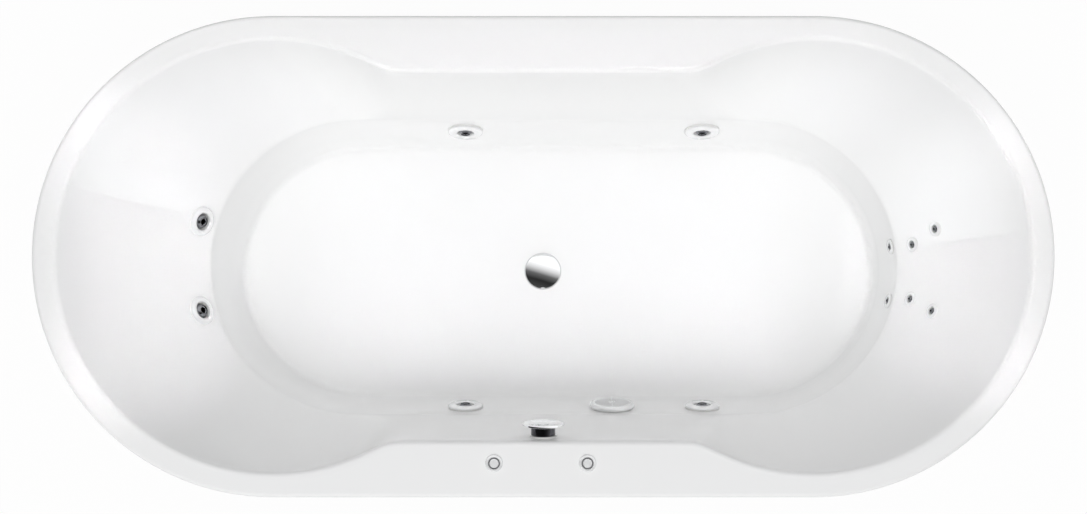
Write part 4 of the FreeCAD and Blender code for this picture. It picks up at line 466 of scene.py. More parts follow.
def shellRings():
    form = bathForm
    top, skin = form["top"], form["rimRound"]
    straight = form["halfLong"] - form["halfWide"]
    mouth, lower = easedRow(0), easedRow(form["leanDepth"])
    count = len(mouth)

    def rim(inset):
        # the rim's point nearest to each point of the mouth
        spots = []
        for point in mouth:
            centre = Vector((max(-straight, min(straight, point.x)), 0))
            spots.append(centre + (point - centre).normalized() * (form["halfWide"] - inset))
        return spots

    rings = []
    for height, inset in ((top - form["skirt"], 0), (top - form["skirt"] * 0.6, 0), (top - skin, 0)):
        rings.append([(point.x, point.y, height) for point in rim(inset)])
    for step in range(1, form["rimSteps"] + 1):
        angle = math.radians(90 * step / form["rimSteps"])
        inset = skin * (1 - math.cos(angle))
        rings.append([(point.x, point.y, top - skin + skin * math.sin(angle)) for point in rim(inset)])

    lips = []
    for i in range(count):
        along = (mouth[(i + 1) % count] - mouth[i - 1]).normalized()
        outward = Vector((along.y, -along.x))
        fall = max((mouth[i] - lower[i]).dot(outward), 0.0)
        leanAngle = math.atan2(fall, form["leanDepth"])
        reach = form["lip"] * math.tan((math.pi / 2 - leanAngle) / 2)
        lips.append((outward, leanAngle, reach))
    edge = [mouth[i] + lips[i][0] * lips[i][2] for i in range(count)]
    outerRim = rim(skin)
    for share in form["deckShares"]:
        rings.append([(*outerRim[i].lerp(edge[i], share), top) for i in range(count)])
    for step in range(form["lipSteps"] + 1):
        ring = []
        for i in range(count):
            outward, leanAngle, reach = lips[i]
            angle = (math.pi / 2 - leanAngle) * step / form["lipSteps"]
            spot = mouth[i] + outward * (reach - form["lip"] * math.sin(angle))
            ring.append((spot.x, spot.y, top - form["lip"] * (1 - math.cos(angle))))
        rings.append(ring)

    for depth in form["wallDepths"]:
        rings.append([(point.x, point.y, top - depth) for point in easedRow(depth)])
    floorRow = basinRow(form["depth"])
    turn = form["floorRound"]
    floorLevel = top - form["depth"]
    for step in range(form["floorSteps"] + 1):
        angle = math.radians(30 + 60 * step / form["floorSteps"])
        grow = turn * (math.cos(angle) - 1) + turn * 0.4
        height = floorLevel + turn * (1 - math.sin(angle))
        rings.append([(point.x, point.y, height) for point in ringPoints(floorRow, grow)])
    floorEdge = [Vector(spot[:2]) for spot in rings[-1]]
    hole = []
    for spot in floorEdge:
        direction = Vector((spot.x * 0.45, spot.y)).normalized()
        hole.append(direction * form["drainHole"])
    for share in form["floorShares"]:
        dish = form["dish"] * max(0, (share - form["dishStart"]) / 0.1)
        rings.append([(*floorEdge[i].lerp(hole[i], share), floorLevel - dish) for i in range(count)])
    return rings


holeForm = {"jet": 0.0194, "smallJet": 0.0089, "suction": 0.0264, "overflow": 0.0174, "button": 0.0124,
            "reach": 0.03}


def fittingHoles():
    # one cutter per fitting, each a turned plug through the wall
    cutters = []

    def hole(place, kind):
        radius, reach = holeForm[kind], holeForm["reach"]
        cutter = turnedPiece("cutter", [(0, -reach), (radius, -reach), (radius, reach), (0, reach)], 48)
        cutter.data.transform(place)
        cutters.append(cutter)

    for number in range(1, 7):
        hole(jointPlace("jet_ring_%d" % number), "jet")
        hole(nozzlePlace(number), "smallJet")
    hole(suctionPlace, "suction")
    hole(jointPlace("overflow_knob"), "overflow")
    for place in buttonPlaces:
        hole(place, "button")
    return joinedPiece("cutters", cutters)


def makeShell():
    rings = shellRings()
    count = len(rings[0])
    clearSelection()
    bpy.ops.mesh.primitive_circle_add(vertices=count, radius=0.4, fill_type="NOTHING", location=(0, 0, 0))
    shell = bpy.context.object
    shell.name = "bathShell"
    bpy.ops.object.mode_set(mode="EDIT")
    bpy.ops.mesh.select_mode(type="VERT")
    bpy.ops.mesh.select_all(action="SELECT")
    work = bmesh.from_edit_mesh(shell.data)
    order = work.verts.layers.int.new("order")
    for vertex in work.verts:
        vertex[order] = vertex.index
        vertex.co = rings[0][vertex.index]
    bmesh.update_edit_mesh(shell.data)
    for ring in rings[1:]:
        bpy.ops.mesh.extrude_edges_move()
        work = bmesh.from_edit_mesh(shell.data)
        order = work.verts.layers.int["order"]
        for vertex in work.verts:
            if vertex.select:
                vertex.co = ring[vertex[order]]
        bmesh.update_edit_mesh(shell.data)
    bpy.ops.mesh.select_all(action="SELECT")
    bpy.ops.mesh.normals_make_consistent(inside=False)
    bpy.ops.object.mode_set(mode="OBJECT")
    deckLevel = bathForm["top"] - 0.0001
    above = max(shell.data.polygons, key=lambda face: face.area if face.center.z > deckLevel else 0)
    if above.normal.z < 0:
        shell.data.flip_normals()
    smoothShade(shell, 60)
    applyModifier(shell, "SOLIDIFY", thickness=bathForm["sheet"], offset=-1.0, use_even_offset=False)
    cutAway(shell, fittingHoles())
    smoothShade(shell, 60)
    dressed(shell, finishes["acrylic_white"], "root", "acrylic_white", "acrylic_shell")
    return shell


def nozzlePlace(number):
    # the small nozzles tilt about their own x axis; the wall point lies ahead of the ball's centre
    axis = Vector(nozzleAxis[number - 1])
    return framed(Vector(joints["micro_nozzle_%d" % number]["pos_m"]) + axis * nozzleSink, axis)


nozzleSink = 0.0026
nozzleAxis = [(-0.96648, 0.22834, 0.11739), (-0.98223, -0.14733, 0.11629), (-0.87028, 0.18993, 0.45446),
              (-0.88138, -0.12128, 0.45658), (-0.85635, 0.25011, 0.45179), (-0.87124, -0.18507, 0.45464)]
suctionPlace = framed((0.131, -0.263464, 0.248), (0, 0.9759466, 0.2180096))
buttonPlaces = [framed((-0.0815, -0.343, 0.600), (0, 0, 1)), framed((0.0735, -0.343, 0.600), (0, 0, 1))]
bathShell = makeShell()
print("shell formed:", len(bathShell.data.polygons), "faces")

# shapes that several fittings share

def ridges(radius, low, high, pitch, depth):
    # profile points of a thread, as even ridges
    count = int(abs(high - low) / pitch)
    step = (high - low) / count
    points = []
    for i in range(count):
        points += [(radius - depth, low + step * i), (radius, low + step * (i + 0.5))]
    return points + [(radius - depth, high)]


def arcPoints(radius, centre, start, end, steps):
    # (radius, height) points on a ball about the axis, angles in degrees up from its equator
    points = []
    for i in range(steps + 1):
        angle = math.radians(start + (end - start) * i / steps)
        points.append((radius * math.cos(angle), centre + radius * math.sin(angle)))
    return points


def collar(name, inner, outer, low, high, corners=48, lip=0.0006):
    # closed ring with its outer corners taken off
    return turnedPiece(name, [(inner, low), (outer - lip, low), (outer, low + lip), (outer, high - lip),
                              (outer - lip, high), (inner, high), (inner, low)], corners)


def slab(name, size, place, edge=0.0):
    clearSelection()
    bpy.ops.mesh.primitive_cube_add(size=1, location=(0, 0, 0))
    piece = bpy.context.object
    piece.name = name
    piece.data.transform(place @ Matrix.Diagonal((*size, 1)))
    if edge:
        softEdges(piece, edge, 2)
    return piece


def hexBolt(name, place, across, tall):
    # across flats, so the corners lie on a circle 1.155 times as wide
    head = turnedPiece(name, [(0, 0), (across * 0.577, 0), (across * 0.577, tall * 0.8), (across * 0.50, tall),
                              (0, tall)], 6)
    washer = collar(name + "Washer", across * 0.3, across * 0.72, 0, tall * 0.22, 32, 0.0002)
    bolt = joinedPiece(name, [head, washer])
    bolt.data.transform(place)
    return bolt


# plug and overflow knob

plugForm = {"radius": 0.034, "low": 0.0038, "edge": 0.0024, "dome": 0.0050, "stem": 0.004,
            "stemEnd": -0.0444, "sealRadius": 0.025, "sealLow": 0.0022, "floor": 0.170,
            "threadEnd": -0.020, "pitch": 0.0012, "depth": 0.0005}


def makePlug():
    form = plugForm
    radius, stem, seal = form["radius"], form["stem"], form["sealRadius"]
    low, end = form["low"], form["stemEnd"]
    edge = low + form["edge"]
    ball = (radius ** 2 + form["dome"] ** 2) / (2 * form["dome"])
    crown = edge + form["dome"]
    sweep = math.degrees(math.asin(radius / ball))
    dome = arcPoints(ball, crown - ball, 90 - sweep, 90, 16)[1:]
    profile = [(0, end), (0.003, end), (stem, end + 0.001)]
    profile += ridges(stem, end + 0.002, form["threadEnd"], form["pitch"], form["depth"])
    profile += [(stem, form["threadEnd"] + 0.001), (stem, form["sealLow"]), (seal - 0.001, form["sealLow"]),
                (seal, low), (radius - 0.001, low), (radius, low + 0.001), (radius, edge - 0.0004),
                (radius - 0.0002, edge)]
    plug = turnedPiece("plugDome", profile + dome[:-1] + [(0, crown)], 128)
    plug.data.transform(Matrix.Translation((0, 0, form["floor"])))
    smoothShade(plug, 40)
    dressed(plug, finishes["chrome"], "waste_plug", "chrome", "waste_plug")


knobForm = {"radius": 0.035, "face": 0.0045, "reach": 0.024, "bodyRadius": 0.0205, "bodyLow": 0.0035,
            "shaft": 0.004, "shaftEnd": -0.004, "dish": 0.0005}


def makeKnob():
    form = knobForm
    back = form["reach"] - form["face"]
    profile = [(0, form["shaftEnd"]), (form["shaft"], form["shaftEnd"]), (form["shaft"], back),
               (form["radius"] - 0.0006, back), (form["radius"], back + 0.0006),
               (form["radius"], form["reach"] - 0.0014), (form["radius"] - 0.0004, form["reach"] - 0.0006),
               (form["radius"] - 0.0012, form["reach"] - 0.0001), (form["radius"] - 0.0022, form["reach"]),
               (form["radius"] - 0.0060, form["reach"]),
               (form["radius"] - 0.0070, form["reach"] - form["dish"]), (0, form["reach"] - form["dish"])]
    knob = turnedPiece("overflowKnob", profile, 128)
    knob.data.transform(jointPlace("overflow_knob"))
    smoothShade(knob, 35)
    dressed(knob, finishes["chrome"], "overflow_knob", "chrome", "overflow_knob")
    barrel = collar("knobBarrel", form["shaft"] + 0.0002, form["bodyRadius"], form["bodyLow"],
                    back - 0.0001, 96)
    barrel.data.transform(jointPlace("overflow_knob"))
    smoothShade(barrel, 35)
    # the barrel's near-black base colour is a painted dark reflection, standing in for the dark overhead mirrored
    # in the chrome
    barrelReflectionFinish = metalFinish("darkReflectionChrome", (0.10, 0.10, 0.11), 160, 3.0, (0.07, 0.14))
    dressed(barrel, barrelReflectionFinish, "overflow_knob", "chrome")


makePlug()
makeKnob()
print("plug and knob formed")

# jets: turning rings, eyeball nozzles and locknuts

ringForm = {"side": 0.033, "end": 0.027, "bore": 0.0160, "low": 0.0035, "tall": 0.0046, "edge": 0.0012,
            "slope": 0.004, "inside": 0.0030, "grips": 6, "gripWide": 0.0050, "gripDeep": 0.0008,
            "gripTurn": 0.4}
eyeForm = {"ball": 0.0148, "sink": -0.0044, "spout": 0.0085, "end": 0.0070, "bore": 0.0055, "lip": 0.0008}
smallForm = {"ball": 0.0065, "sink": -0.0026, "spout": 0.0038, "end": 0.0046, "bore": 0.0020, "lip": 0.0005}


def makeRing(number, radius):
    form = ringForm
    low, top, bore = form["low"], form["low"] + form["tall"], form["bore"]
    crest = radius - form["slope"]
    profile = [(bore, low), (radius - 0.0005, low), (radius, low + 0.0005), (radius, low + form["edge"])]
    for share in (0.15, 0.35, 0.6, 0.85):
        rise = (form["tall"] - form["edge"]) * share ** 0.7
        profile.append((radius - form["slope"] * share, low + form["edge"] + rise))
    profile += [(crest, top), (bore + form["inside"], top), (bore + 0.0024, top - 0.0006),
                (bore + 0.0016, top - 0.0006), (bore + 0.0006, top - 0.0011), (bore, top - 0.0020), (bore, low)]
    ring = turnedPiece("jetRing%d" % number, profile, 96)
    dents = []
    for i in range(form["grips"]):
        turn = Matrix.Rotation(2 * math.pi * i / form["grips"] + form["gripTurn"], 4, "Z")
        dent = turnedPiece("dent", [(0, top - form["gripDeep"]), (form["gripWide"] / 2, top + 0.0002),
                                    (form["gripWide"] / 2, top + 0.004), (0, top + 0.004)], 24)
        middle = (crest + bore + form["inside"]) / 2
        dent.data.transform(turn @ Matrix.Translation((middle, 0, 0)))
        dents.append(dent)
    cutAway(ring, joinedPiece("dents", dents))
    ring.data.transform(jointPlace("jet_ring_%d" % number))
    smoothShade(ring, 35)
    dressed(ring, ringFinish, "jet_ring_%d" % number, "chrome", "jet_ring_%d" % number)


def makeNozzle(name, form, place, body):
    start = -math.degrees(math.acos(form["bore"] / form["ball"]))
    end = math.degrees(math.acos(form["spout"] / form["ball"]))
    profile = arcPoints(form["ball"], form["sink"], start, end, 18)
    throat = profile[-1][1]
    profile += [(form["spout"], throat + form["lip"]), (form["spout"], form["end"] - form["lip"]),
                (form["spout"] - form["lip"], form["end"]), (form["bore"] + form["lip"], form["end"]),
                (form["bore"], form["end"] - form["lip"]), profile[0]]
    nozzle = turnedPiece(name, profile, 64)
    nozzle.data.transform(place)
    smoothShade(nozzle, 40)
    dressed(nozzle, eyeShadeFinish, body, "satin_nozzle", body)


smallRingForm = {"inner": 0.0072, "outer": 0.0138, "low": 0.0026, "high": 0.0036}


def makeSmallRings():
    inner, outer, low, high = smallRingForm.values()
    for number in range(1, 7):
        ring = turnedPiece("smallRing%d" % number, [
            (inner, low), (outer, low), (outer - 0.0003, low + 0.0004), (outer - 0.0014, high),
            (inner + 0.0006, high), (inner, high - 0.0005), (inner, low)], 64)
        ring.data.transform(nozzlePlace(number))
        smoothShade(ring, 35)
        dressed(ring, ringFinish, "root", "chrome")


nutForm = {"inner": 0.0208, "outer": 0.0262, "far": -0.0213, "washer": -0.0143, "near": -0.0113,
           "washerRadius": 0.030, "washerBore": 0.0193, "lugs": 8}
smallNutForm = {"bore": 0.0102, "flat": 0.0140, "corner": 0.0150, "far": -0.0168, "near": -0.0113,
                "bevel": 0.0008}


def makeLocknuts():
    inner, outer, far, washerFar = [nutForm[key] for key in ("inner", "outer", "far", "washer")]
    nuts = []
    for number in range(1, 7):
        grip = turnedPiece("grip", [(inner, far), (outer - 0.001, far), (outer, far + 0.001),
                                    (outer, washerFar), (inner, washerFar), (inner, far)], nutForm["lugs"])
        washer = collar("washer", nutForm["washerBore"], nutForm["washerRadius"], washerFar, nutForm["near"],
                        64, 0.0004)
        nut = joinedPiece("nut", [grip, washer])
        nut.data.transform(jointPlace("jet_ring_%d" % number))
        nuts.append(nut)
    whole = joinedPiece("jetLocknuts", nuts)
    smoothShade(whole, 30)
    dressed(whole, finishes["jet_plastic"], "root", "jet_plastic", "jet_locknuts")
    bore, flat, corner, far, near, bevel = smallNutForm.values()
    small = []
    for number in range(1, 7):
        nut = turnedPiece("smallNut", [(bore, far), (flat, far), (corner, far + bevel), (corner, near - bevel),
                                       (flat, near), (bore, near), (bore, far)], 6)
        nut.data.transform(nozzlePlace(number))
        small.append(nut)
    few = joinedPiece("smallLocknuts", small)
    smoothShade(few, 30)
    dressed(few, finishes["jet_plastic"], "root", "jet_plastic", "micro_locknuts")


ringFinish = metalFinish("pearlChrome", (0.94, 0.945, 0.95), 120, 3.0, (0.10, 0.18), 0.25)
# the nozzles' dark grey base colour is painted shade, standing in for the shadow inside and around each eyeball
eyeShadeFinish = metalFinish("paintedShadeChrome", (0.28, 0.285, 0.30), 160, 3.0, (0.09, 0.16))
for number in range(1, 7):
    makeRing(number, ringForm["end"] if number > 4 else ringForm["side"])
    makeNozzle("jetNozzle%d" % number, eyeForm, jointPlace("jet_ring_%d" % number), "jet_nozzle_%d" % number)
    makeNozzle("smallNozzle%d" % number, smallForm, nozzlePlace(number), "micro_nozzle_%d" % number)
makeSmallRings()
makeLocknuts()
print("jets formed")

# suction cover with its grille and screw

coverForm = {"radius": 0.042, "low": 0.0033, "top": 0.012, "slope": 0.005, "rim": 0.008, "face": 0.003,
             "dome": 0.0010, "slot": 0.0016, "pitch": 0.0032, "open": 0.0325, "hub": 0.0062, "bridge": 0.0016}


def makeCover():
    form = coverForm
    low, top, radius = form["low"], form["top"], form["radius"]
    under = top - form["face"]
    profile = [(0, under), (radius - form["rim"], under), (radius - form["rim"], low), (radius - 0.0005, low),
               (radius, low + 0.0005), (radius, low + 0.0020), (radius - 0.0010, low + 0.0046),
               (radius - 0.0028, top - 0.0012), (radius - form["slope"], top - 0.0004),
               (radius - form["slope"] - 0.0015, top - 0.0004),
               (radius - form["slope"] - 0.0025, top - form["dome"]), (0, top - form["dome"] * 0.2)]
    cover = turnedPiece("suctionCover", profile, 128)
    bars = []
    count = int(form["open"] / form["pitch"])
    for step in range(-count, count + 1):
        across = step * form["pitch"]
        reach = math.sqrt(form["open"] ** 2 - across ** 2)
        start = math.sqrt(form["hub"] ** 2 - across ** 2) if abs(across) < form["hub"] else form["bridge"] / 2
        for side in (-1, 1):
            middle = side * (start + reach) / 2
            bars.append(slab("bar", (reach - start, form["slot"], 0.009),
                             Matrix.Translation((middle, across, top - 0.002))))
    cutAway(cover, joinedPiece("bars", bars))
    cover.data.transform(suctionPlace)
    smoothShade(cover, 30)
    dressed(cover, ringFinish, "root", "chrome", "suction_cover")


screwForm = {"end": -0.018, "radius": 0.002, "head": 0.004, "tall": 0.002, "pitch": 0.0008, "depth": 0.0003,
             "cross": ((0.0044, 0.0009, 0.0018), (0.0009, 0.0044, 0.0018))}


def makeScrew():
    form = screwForm
    radius, head = form["radius"], coverForm["top"]
    profile = [(0, form["end"])] + ridges(radius, form["end"] + 0.0005, 0.0, form["pitch"], form["depth"])
    profile += [(radius, 0.0005), (radius, head), (form["head"], head), (form["head"] - 0.0001, head + 0.0008),
                (0.0032, head + 0.0017), (0.0015, head + form["tall"]), (0, head + form["tall"])]
    screw = turnedPiece("suctionScrew", profile, 48)
    top = Matrix.Translation((0, 0, head + form["tall"]))
    for tool in [slab("cross", size, top) for size in form["cross"]]:
        cutAway(screw, tool)
    screw.data.transform(suctionPlace)
    smoothShade(screw, 30)
    dressed(screw, finishes["chrome"], "root", "chrome", "suction_screw")


makeCover()
makeScrew()
print("suction cover formed")

# controls on the deck

bezelForm = {"radius": 0.0145, "rise": 0.004, "edge": 0.0015, "well": 0.010, "wellFloor": -0.001,
             "neck": 0.0117, "neckEnd": -0.034, "tail": 0.005, "tailEnd": -0.042, "bore": 0.0076,
             "boreEnd": -0.022, "nutHigh": -0.0113, "nutLow": -0.0190, "nutRadius": 0.0190}
capForm = {"radius": 0.0075, "rise": 0.005, "low": -0.016, "pointer": (0.0012, 0.0060, 0.0020),
           "pointerAt": 0.0045}


def makeBezel(name, place, node):
    form = bezelForm
    radius, rise, neck, end, well = form["radius"], form["rise"], form["neck"], form["neckEnd"], form["well"]
    profile = [(0, end), (form["tail"], form["tailEnd"]), (neck, end + 0.004)]
    profile += ridges(neck, end + 0.005, -0.0105, 0.0015, 0.0005)
    profile += [(neck, 0), (radius - 0.0003, 0), (radius, 0.0003), (radius, form["edge"]),
                (radius - 0.0005, rise - 0.0012), (radius - 0.0013, rise - 0.0003), (radius - 0.0024, rise),
                (well + 0.0005, rise), (well, rise - 0.0005), (well, form["wellFloor"]),
                (form["bore"], form["wellFloor"]), (form["bore"], form["boreEnd"]), (0, form["boreEnd"])]
    bezel = turnedPiece(name, profile, 96)
    bezel.data.transform(place)
    smoothShade(bezel, 35)
    dressed(bezel, ringFinish, "root", "chrome", node)


def makeCap(name, place, node, pointer):
    form = capForm
    radius, low, rise = form["radius"], form["low"], form["rise"]
    cap = turnedPiece(name, [(0, low), (radius - 0.0005, low), (radius, low + 0.0005), (radius, rise - 0.0010),
                             (radius - 0.0003, rise - 0.0004), (radius - 0.0010, rise - 0.0001),
                             (radius - 0.0020, rise), (radius - 0.0028, rise), (0, rise - 0.0006)], 96)
    if pointer:
        cutAway(cap, slab("pointer", form["pointer"], Matrix.Translation((0, form["pointerAt"], rise))))
    cap.data.transform(place)
    smoothShade(cap, 35)
    dressed(cap, ringFinish, node, "chrome", node)


def makeShadeSeals():
    # dark rubber rings on the well floors: a seal, and also darkened as painted shade in the button wells
    form = bezelForm
    rings = []
    for place in buttonPlaces:
        ring = collar("seal", form["bore"] + 0.0002, form["well"] - 0.0002, form["wellFloor"],
                      form["wellFloor"] + 0.0006, 64, 0.0001)
        ring.data.transform(place)
        rings.append(ring)
    pair = joinedPiece("deckSealsPaintedShade", rings)
    smoothShade(pair, 35)
    shadeSealFinish = rubberFinish("greySealPaintedShade", (0.20, 0.20, 0.21), 0.5, 500, 2.0, (0.2, 0.0002))
    dressed(pair, shadeSealFinish, "root", "rubber")


def makeDeckNuts():
    form = bezelForm
    nuts = []
    for place in buttonPlaces:
        nut = collar("deckNut", form["neck"] + 0.0012, form["nutRadius"], form["nutLow"], form["nutHigh"], 6)
        nut.data.transform(place)
        nuts.append(nut)
    pair = joinedPiece("deckNuts", nuts)
    smoothShade(pair, 30)
    dressed(pair, finishes["jet_plastic"], "root", "jet_plastic")


makeBezel("buttonBezel", buttonPlaces[0], "button_body")
makeBezel("airBezel", buttonPlaces[1], "air_valve_body")
makeCap("buttonCap", buttonPlaces[0], "button_cap", False)
makeCap("airKnob", buttonPlaces[1], "air_knob", True)
makeShadeSeals()
makeDeckNuts()
print("deck controls formed")

# levelling feet

footForm = {"radius": 0.022, "rim": 0.0054, "slope": 0.008, "tall": 0.009, "nut": 0.0109, "nutTall": 0.008,
            "screw": 0.006, "length": 0.118, "pitch": 0.00175, "depth": 0.0007}


def makeFoot(number):
    form = footForm
    name = "leveling_foot_%d" % number
    low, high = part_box(name)
    radius, rim, tall, screw = form["radius"], form["rim"], form["tall"], form["screw"]
    profile = [(0, 0), (radius - 0.0010, 0), (radius, 0.0010), (radius, rim - 0.0010), (radius - 0.0008, rim),
               (radius - form["slope"], tall), (screw - form["depth"], tall)]
    profile += ridges(screw, tall + 0.0002, form["length"] - 0.0015, form["pitch"], form["depth"])
    profile += [(screw - 0.0016, form["length"]), (0, form["length"])]
    foot = turnedPiece("footScrew", profile, 40)
    wide, nutTop = form["nut"], tall + form["nutTall"]
    nut = turnedPiece("footNut", [(screw, tall), (wide - 0.0012, tall), (wide, tall + 0.0008),
                                  (wide, nutTop - 0.0008), (wide - 0.0012, nutTop), (screw, nutTop),
                                  (screw, tall)], 6)
    foot = joinedPiece("levelingFoot%d" % number, [foot, nut])
    foot.data.transform(Matrix.Translation(((low[0] + high[0]) / 2, (low[1] + high[1]) / 2, low[2])))
    smoothShade(foot, 30)
    dressed(foot, finishes["foot_steel"], name, "foot_steel", name)


for number in range(1, 7):
    makeFoot(number)
print("feet formed")

# pump: finned motor, volute bolts and pipe unions

pumpForm = {"x": -0.750, "y": -0.126, "z": 0.214, "radius": 0.058, "core": 0.0525, "start": 0.046, "end": 0.236,
            "shaftBore": 0.0072, "finLow": 0.060, "finHigh": 0.222, "fins": 34, "finThick": 0.0018,
            "footSize": (0.096, 0.114, 0.029), "footY": -0.042, "footLow": 0.15670, "footEdge": 0.002,
            "boltCircle": 0.0455, "bolts": 8, "boltAcross": 0.007, "boltTall": 0.004}


def makeMotor():
    form = pumpForm
    place = framed((form["x"], form["y"], form["z"]), (0, 1, 0))
    radius, inner, bore = form["radius"], form["core"], form["shaftBore"]
    start, end, low, high = form["start"], form["end"], form["finLow"], form["finHigh"]
    core = turnedPiece("core", [(bore, start), (radius - 0.001, start), (radius, start + 0.001),
                                (radius, low - 0.002), (inner, low), (inner, high), (radius, high + 0.002),
                                (radius, end - 0.001), (radius - 0.001, end), (bore, end), (bore, start)], 96)
    parts = [core]
    finSize = (radius - inner + 0.001, form["finThick"], high - low)
    finPlace = Matrix.Translation(((radius + inner - 0.001) / 2 - 0.0003, 0, (low + high) / 2))
    for i in range(form["fins"]):
        turn = Matrix.Rotation(2 * math.pi * (i + 0.5) / form["fins"], 4, "Z")
        parts.append(slab("fin", finSize, turn @ finPlace))
    for part in parts:
        part.data.transform(place)
    long, wide, tall = form["footSize"]
    middle = (form["x"], form["footY"] + wide / 2, form["footLow"] + tall / 2)
    parts.append(slab("foot", form["footSize"], Matrix.Translation(middle), form["footEdge"]))
    motor = joinedPiece("motorHousing", parts)
    smoothShade(motor, 30)
    dressed(motor, finishes["motor_paint"], "root", "motor_paint", "motor_housing")


def makePumpBolts():
    form = pumpForm
    place = framed((form["x"], form["y"], form["z"]), (0, 1, 0))
    spot = Matrix.Translation((form["boltCircle"], 0, 0)) @ Matrix.Rotation(math.pi, 4, "X")
    bolts = []
    for i in range(form["bolts"]):
        turn = Matrix.Rotation(2 * math.pi * (i + 0.5) / form["bolts"], 4, "Z")
        bolts.append(hexBolt("bolt", place @ turn @ spot, form["boltAcross"], form["boltTall"]))
    whole = joinedPiece("voluteBolts", bolts)
    smoothShade(whole, 30)
    dressed(whole, finishes["foot_steel"], "root", "foot_steel")


unionForm = {"rings": [
    ((-0.750, -0.163, 0.214), (0, 1, 0), 0.0252, 0.0330, 0.016, 12),
    ((0.131, -0.304454, 0.1975), (0, 0, 1), 0.0252, 0.0330, 0.016, 12),
    ((0.0, 0.0, 0.062), (0, 0, 1), 0.0262, 0.0310, 0.014, 24),
    ((0.0, 0.126, 0.038), (0, 1, 0), 0.0232, 0.0285, 0.012, 20)]}


def makeUnions():
    rings = []
    for point, axis, inner, outer, tall, corners in unionForm["rings"]:
        ring = collar("union", inner / math.cos(math.pi / corners), outer, 0, tall, corners, 0.001)
        ring.data.transform(framed(point, axis, (1, 0, 0) if axis[2] else (0, 0, 1)))
        rings.append(ring)
    whole = joinedPiece("pipeUnions", rings)
    smoothShade(whole, 20)
    dressed(whole, finishes["pump_plastic"], "root", "pump_plastic")


frameForm = {"rails": (-0.150, 0.150), "crosses": (-0.500, -0.045, 0.500), "top": 0.0717, "across": 0.010,
             "tall": 0.0055}


def makeFrameBolts():
    form = frameForm
    bolts = []
    flip = Matrix.Rotation(math.pi, 4, "X")
    for x in form["crosses"]:
        for y in form["rails"]:
            place = Matrix.Translation((x, y, form["top"])) @ flip
            bolts.append(hexBolt("railBolt", place, form["across"], form["tall"]))
    whole = joinedPiece("frameBolts", bolts)
    smoothShade(whole, 30)
    dressed(whole, finishes["foot_steel"], "root", "foot_steel")


makeMotor()
makePumpBolts()
makeUnions()
makeFrameBolts()
print("pump and frame details formed")

# floor, world and lamps

studio = {
    "floorSize": 12.0, "floorGlow": 0.96, "worldStrength": 0.33, "shineStrength": 1.15,
    "worldColour": (0.983, 0.987, 0.995), "panelSlant": 0.30,
    # how bright the world's panels look in metal, from the front (0) to the back (1)
    "panels": ((0.0, 0.80), (0.16, 0.50), (0.21, 0.06), (0.36, 0.02), (0.46, 0.12), (0.55, 0.62), (0.64, 1.0),
               (1.0, 0.85)),
    "lamps": {
        "keyLamp": ((-0.6, -2.5, 7.7), (-0.05, 0.0, 0.3), (6.0, 4.0), 226.0, 180),
        "frontLamp": ((0.0, -5.2, 6.6), (0.0, 0.0, 0.3), (8.0, 3.0), 130.0, 180),
        "backLamp": ((0.0, 3.0, 7.4), (0.0, 0.0, 0.3), (6.4, 4.0), 56.0, 180),
        "basinLamp": ((0.02, 0.02, 3.0), (0.02, 0.02, 0.2), (1.0, 0.30), 0.112, 10),
        "floorLamp": ((0.02, -0.108, 3.0), (0.02, -0.108, 0.2), (0.9, 0.12), 0.078, 4),
        "leftLamp": ((-0.69, 0.0, 3.0), (-0.69, 0.0, 0.3), (0.18, 0.50), 0.118, 4),
        "rightLamp": ((0.715, 0.0, 3.0), (0.715, 0.0, 0.3), (0.15, 0.44), 0.09, 4),
        "wallLamp": ((0.0, -1.4, 3.2), (0.0, 0.31, 0.42), (1.3, 0.10), 0.25, 10),
    },
}


def makeFloor():
    clearSelection()
    bpy.ops.mesh.primitive_plane_add(size=studio["floorSize"], location=(0, 0, 0))
    floor = bpy.context.object
    floor.name = "studioFloor"
    finish = newFinish("paleFloor", (0.86, 0.86, 0.86), 0.6)
    tree = finish.node_tree
    shader = tree.nodes["Principled BSDF"]
    glow = tree.nodes.new("ShaderNodeEmission")
    glow.inputs["Color"].default_value = (1, 1, 1, 1)
    glow.inputs["Strength"].default_value = 1.0
    rays = tree.nodes.new("ShaderNodeLightPath")
    share = tree.nodes.new("ShaderNodeMath")
    share.operation = "MULTIPLY"
    share.inputs[1].default_value = studio["floorGlow"]
    mixer = tree.nodes.new("ShaderNodeMixShader")
    tree.links.new(rays.outputs["Is Camera Ray"], share.inputs[0])
    tree.links.new(share.outputs["Value"], mixer.inputs["Fac"])
    tree.links.new(shader.outputs["BSDF"], mixer.inputs[1])
    tree.links.new(glow.outputs["Emission"], mixer.inputs[2])
    tree.links.new(mixer.outputs["Shader"], tree.nodes["Material Output"].inputs["Surface"])
    grain = patternNode(finish, "ShaderNodeTexNoise", 60, Detail=3.0)
    addRelief(finish, grain, 0.05, 0.0005)
    floor.data.materials.append(finish)


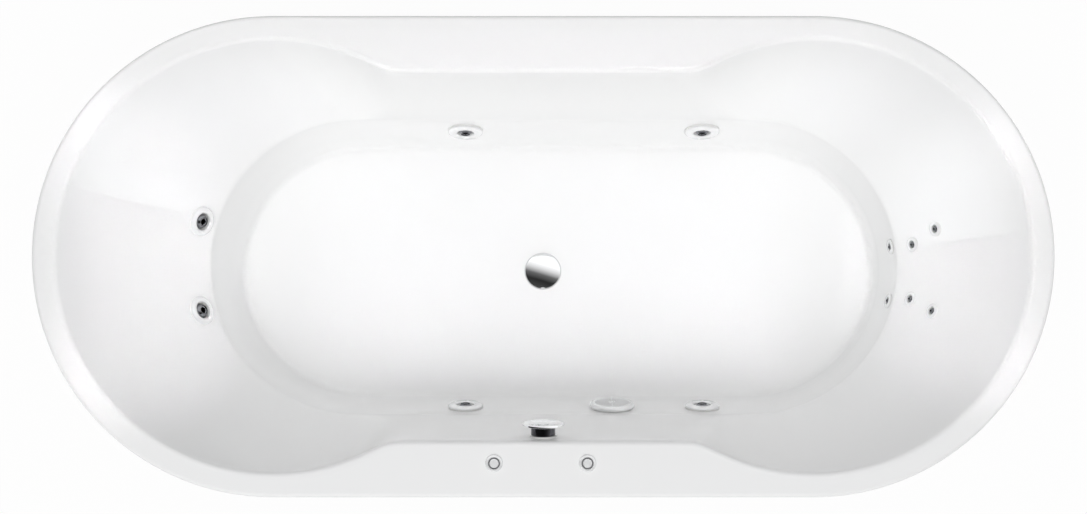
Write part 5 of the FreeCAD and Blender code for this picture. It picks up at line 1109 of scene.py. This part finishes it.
def makeWorld():
    world = bpy.data.worlds.new("studioWorld")
    scene.world = world
    world.use_nodes = True
    tree = world.node_tree
    background = tree.nodes["Background"]
    place = tree.nodes.new("ShaderNodeTexCoord")
    split = tree.nodes.new("ShaderNodeSeparateXYZ")
    tree.links.new(place.outputs["Generated"], split.inputs["Vector"])
    # panels that shine in metal: dark in front, bright overhead and behind
    slant = tree.nodes.new("ShaderNodeMath")
    slant.operation = "MULTIPLY_ADD"
    slant.inputs[1].default_value = studio["panelSlant"]
    tree.links.new(split.outputs["X"], slant.inputs[0])
    tree.links.new(split.outputs["Y"], slant.inputs[2])
    half = tree.nodes.new("ShaderNodeMath")
    half.operation = "MULTIPLY_ADD"
    half.inputs[1].default_value = 0.5
    half.inputs[2].default_value = 0.5
    tree.links.new(slant.outputs["Value"], half.inputs[0])
    panels = tree.nodes.new("ShaderNodeValToRGB")
    ramp = panels.color_ramp
    stops = studio["panels"]
    ramp.elements[0].position, ramp.elements[0].color = stops[0][0], (*[stops[0][1]] * 3, 1)
    ramp.elements[1].position, ramp.elements[1].color = stops[-1][0], (*[stops[-1][1]] * 3, 1)
    for position, value in stops[1:-1]:
        stop = ramp.elements.new(position)
        stop.color = (value, value, value, 1)
    tree.links.new(half.outputs["Value"], panels.inputs["Fac"])
    rays = tree.nodes.new("ShaderNodeLightPath")
    blend = tree.nodes.new("ShaderNodeMix")
    blend.data_type = "RGBA"
    blend.inputs[6].default_value = (*studio["worldColour"], 1)
    tree.links.new(rays.outputs["Is Glossy Ray"], blend.inputs[0])
    tree.links.new(panels.outputs["Color"], blend.inputs[7])
    tree.links.new(blend.outputs[2], background.inputs["Color"])
    strength = tree.nodes.new("ShaderNodeMath")
    strength.operation = "MULTIPLY_ADD"
    strength.inputs[1].default_value = studio["shineStrength"] - studio["worldStrength"]
    strength.inputs[2].default_value = studio["worldStrength"]
    brighter = tree.nodes.new("ShaderNodeMath")
    brighter.operation = "MAXIMUM"
    tree.links.new(rays.outputs["Is Glossy Ray"], brighter.inputs[0])
    tree.links.new(rays.outputs["Is Camera Ray"], brighter.inputs[1])
    tree.links.new(brighter.outputs["Value"], strength.inputs[0])
    tree.links.new(strength.outputs["Value"], background.inputs["Strength"])


def addLamp(name, place, aim, size, power, spread):
    clearSelection()
    turn = (Vector(aim) - Vector(place)).to_track_quat("-Z", "Y").to_euler()
    bpy.ops.object.light_add(type="AREA", location=place, rotation=turn)
    lamp = bpy.context.object
    lamp.name = name
    lamp.data.shape = "RECTANGLE"
    lamp.data.size, lamp.data.size_y = size
    lamp.data.energy = power
    lamp.data.spread = math.radians(spread)
    lamp.visible_glossy = False
    lamp.visible_camera = False


makeFloor()
makeWorld()
for lampName, values in studio["lamps"].items():
    addLamp(lampName, *values)
print("studio lit")
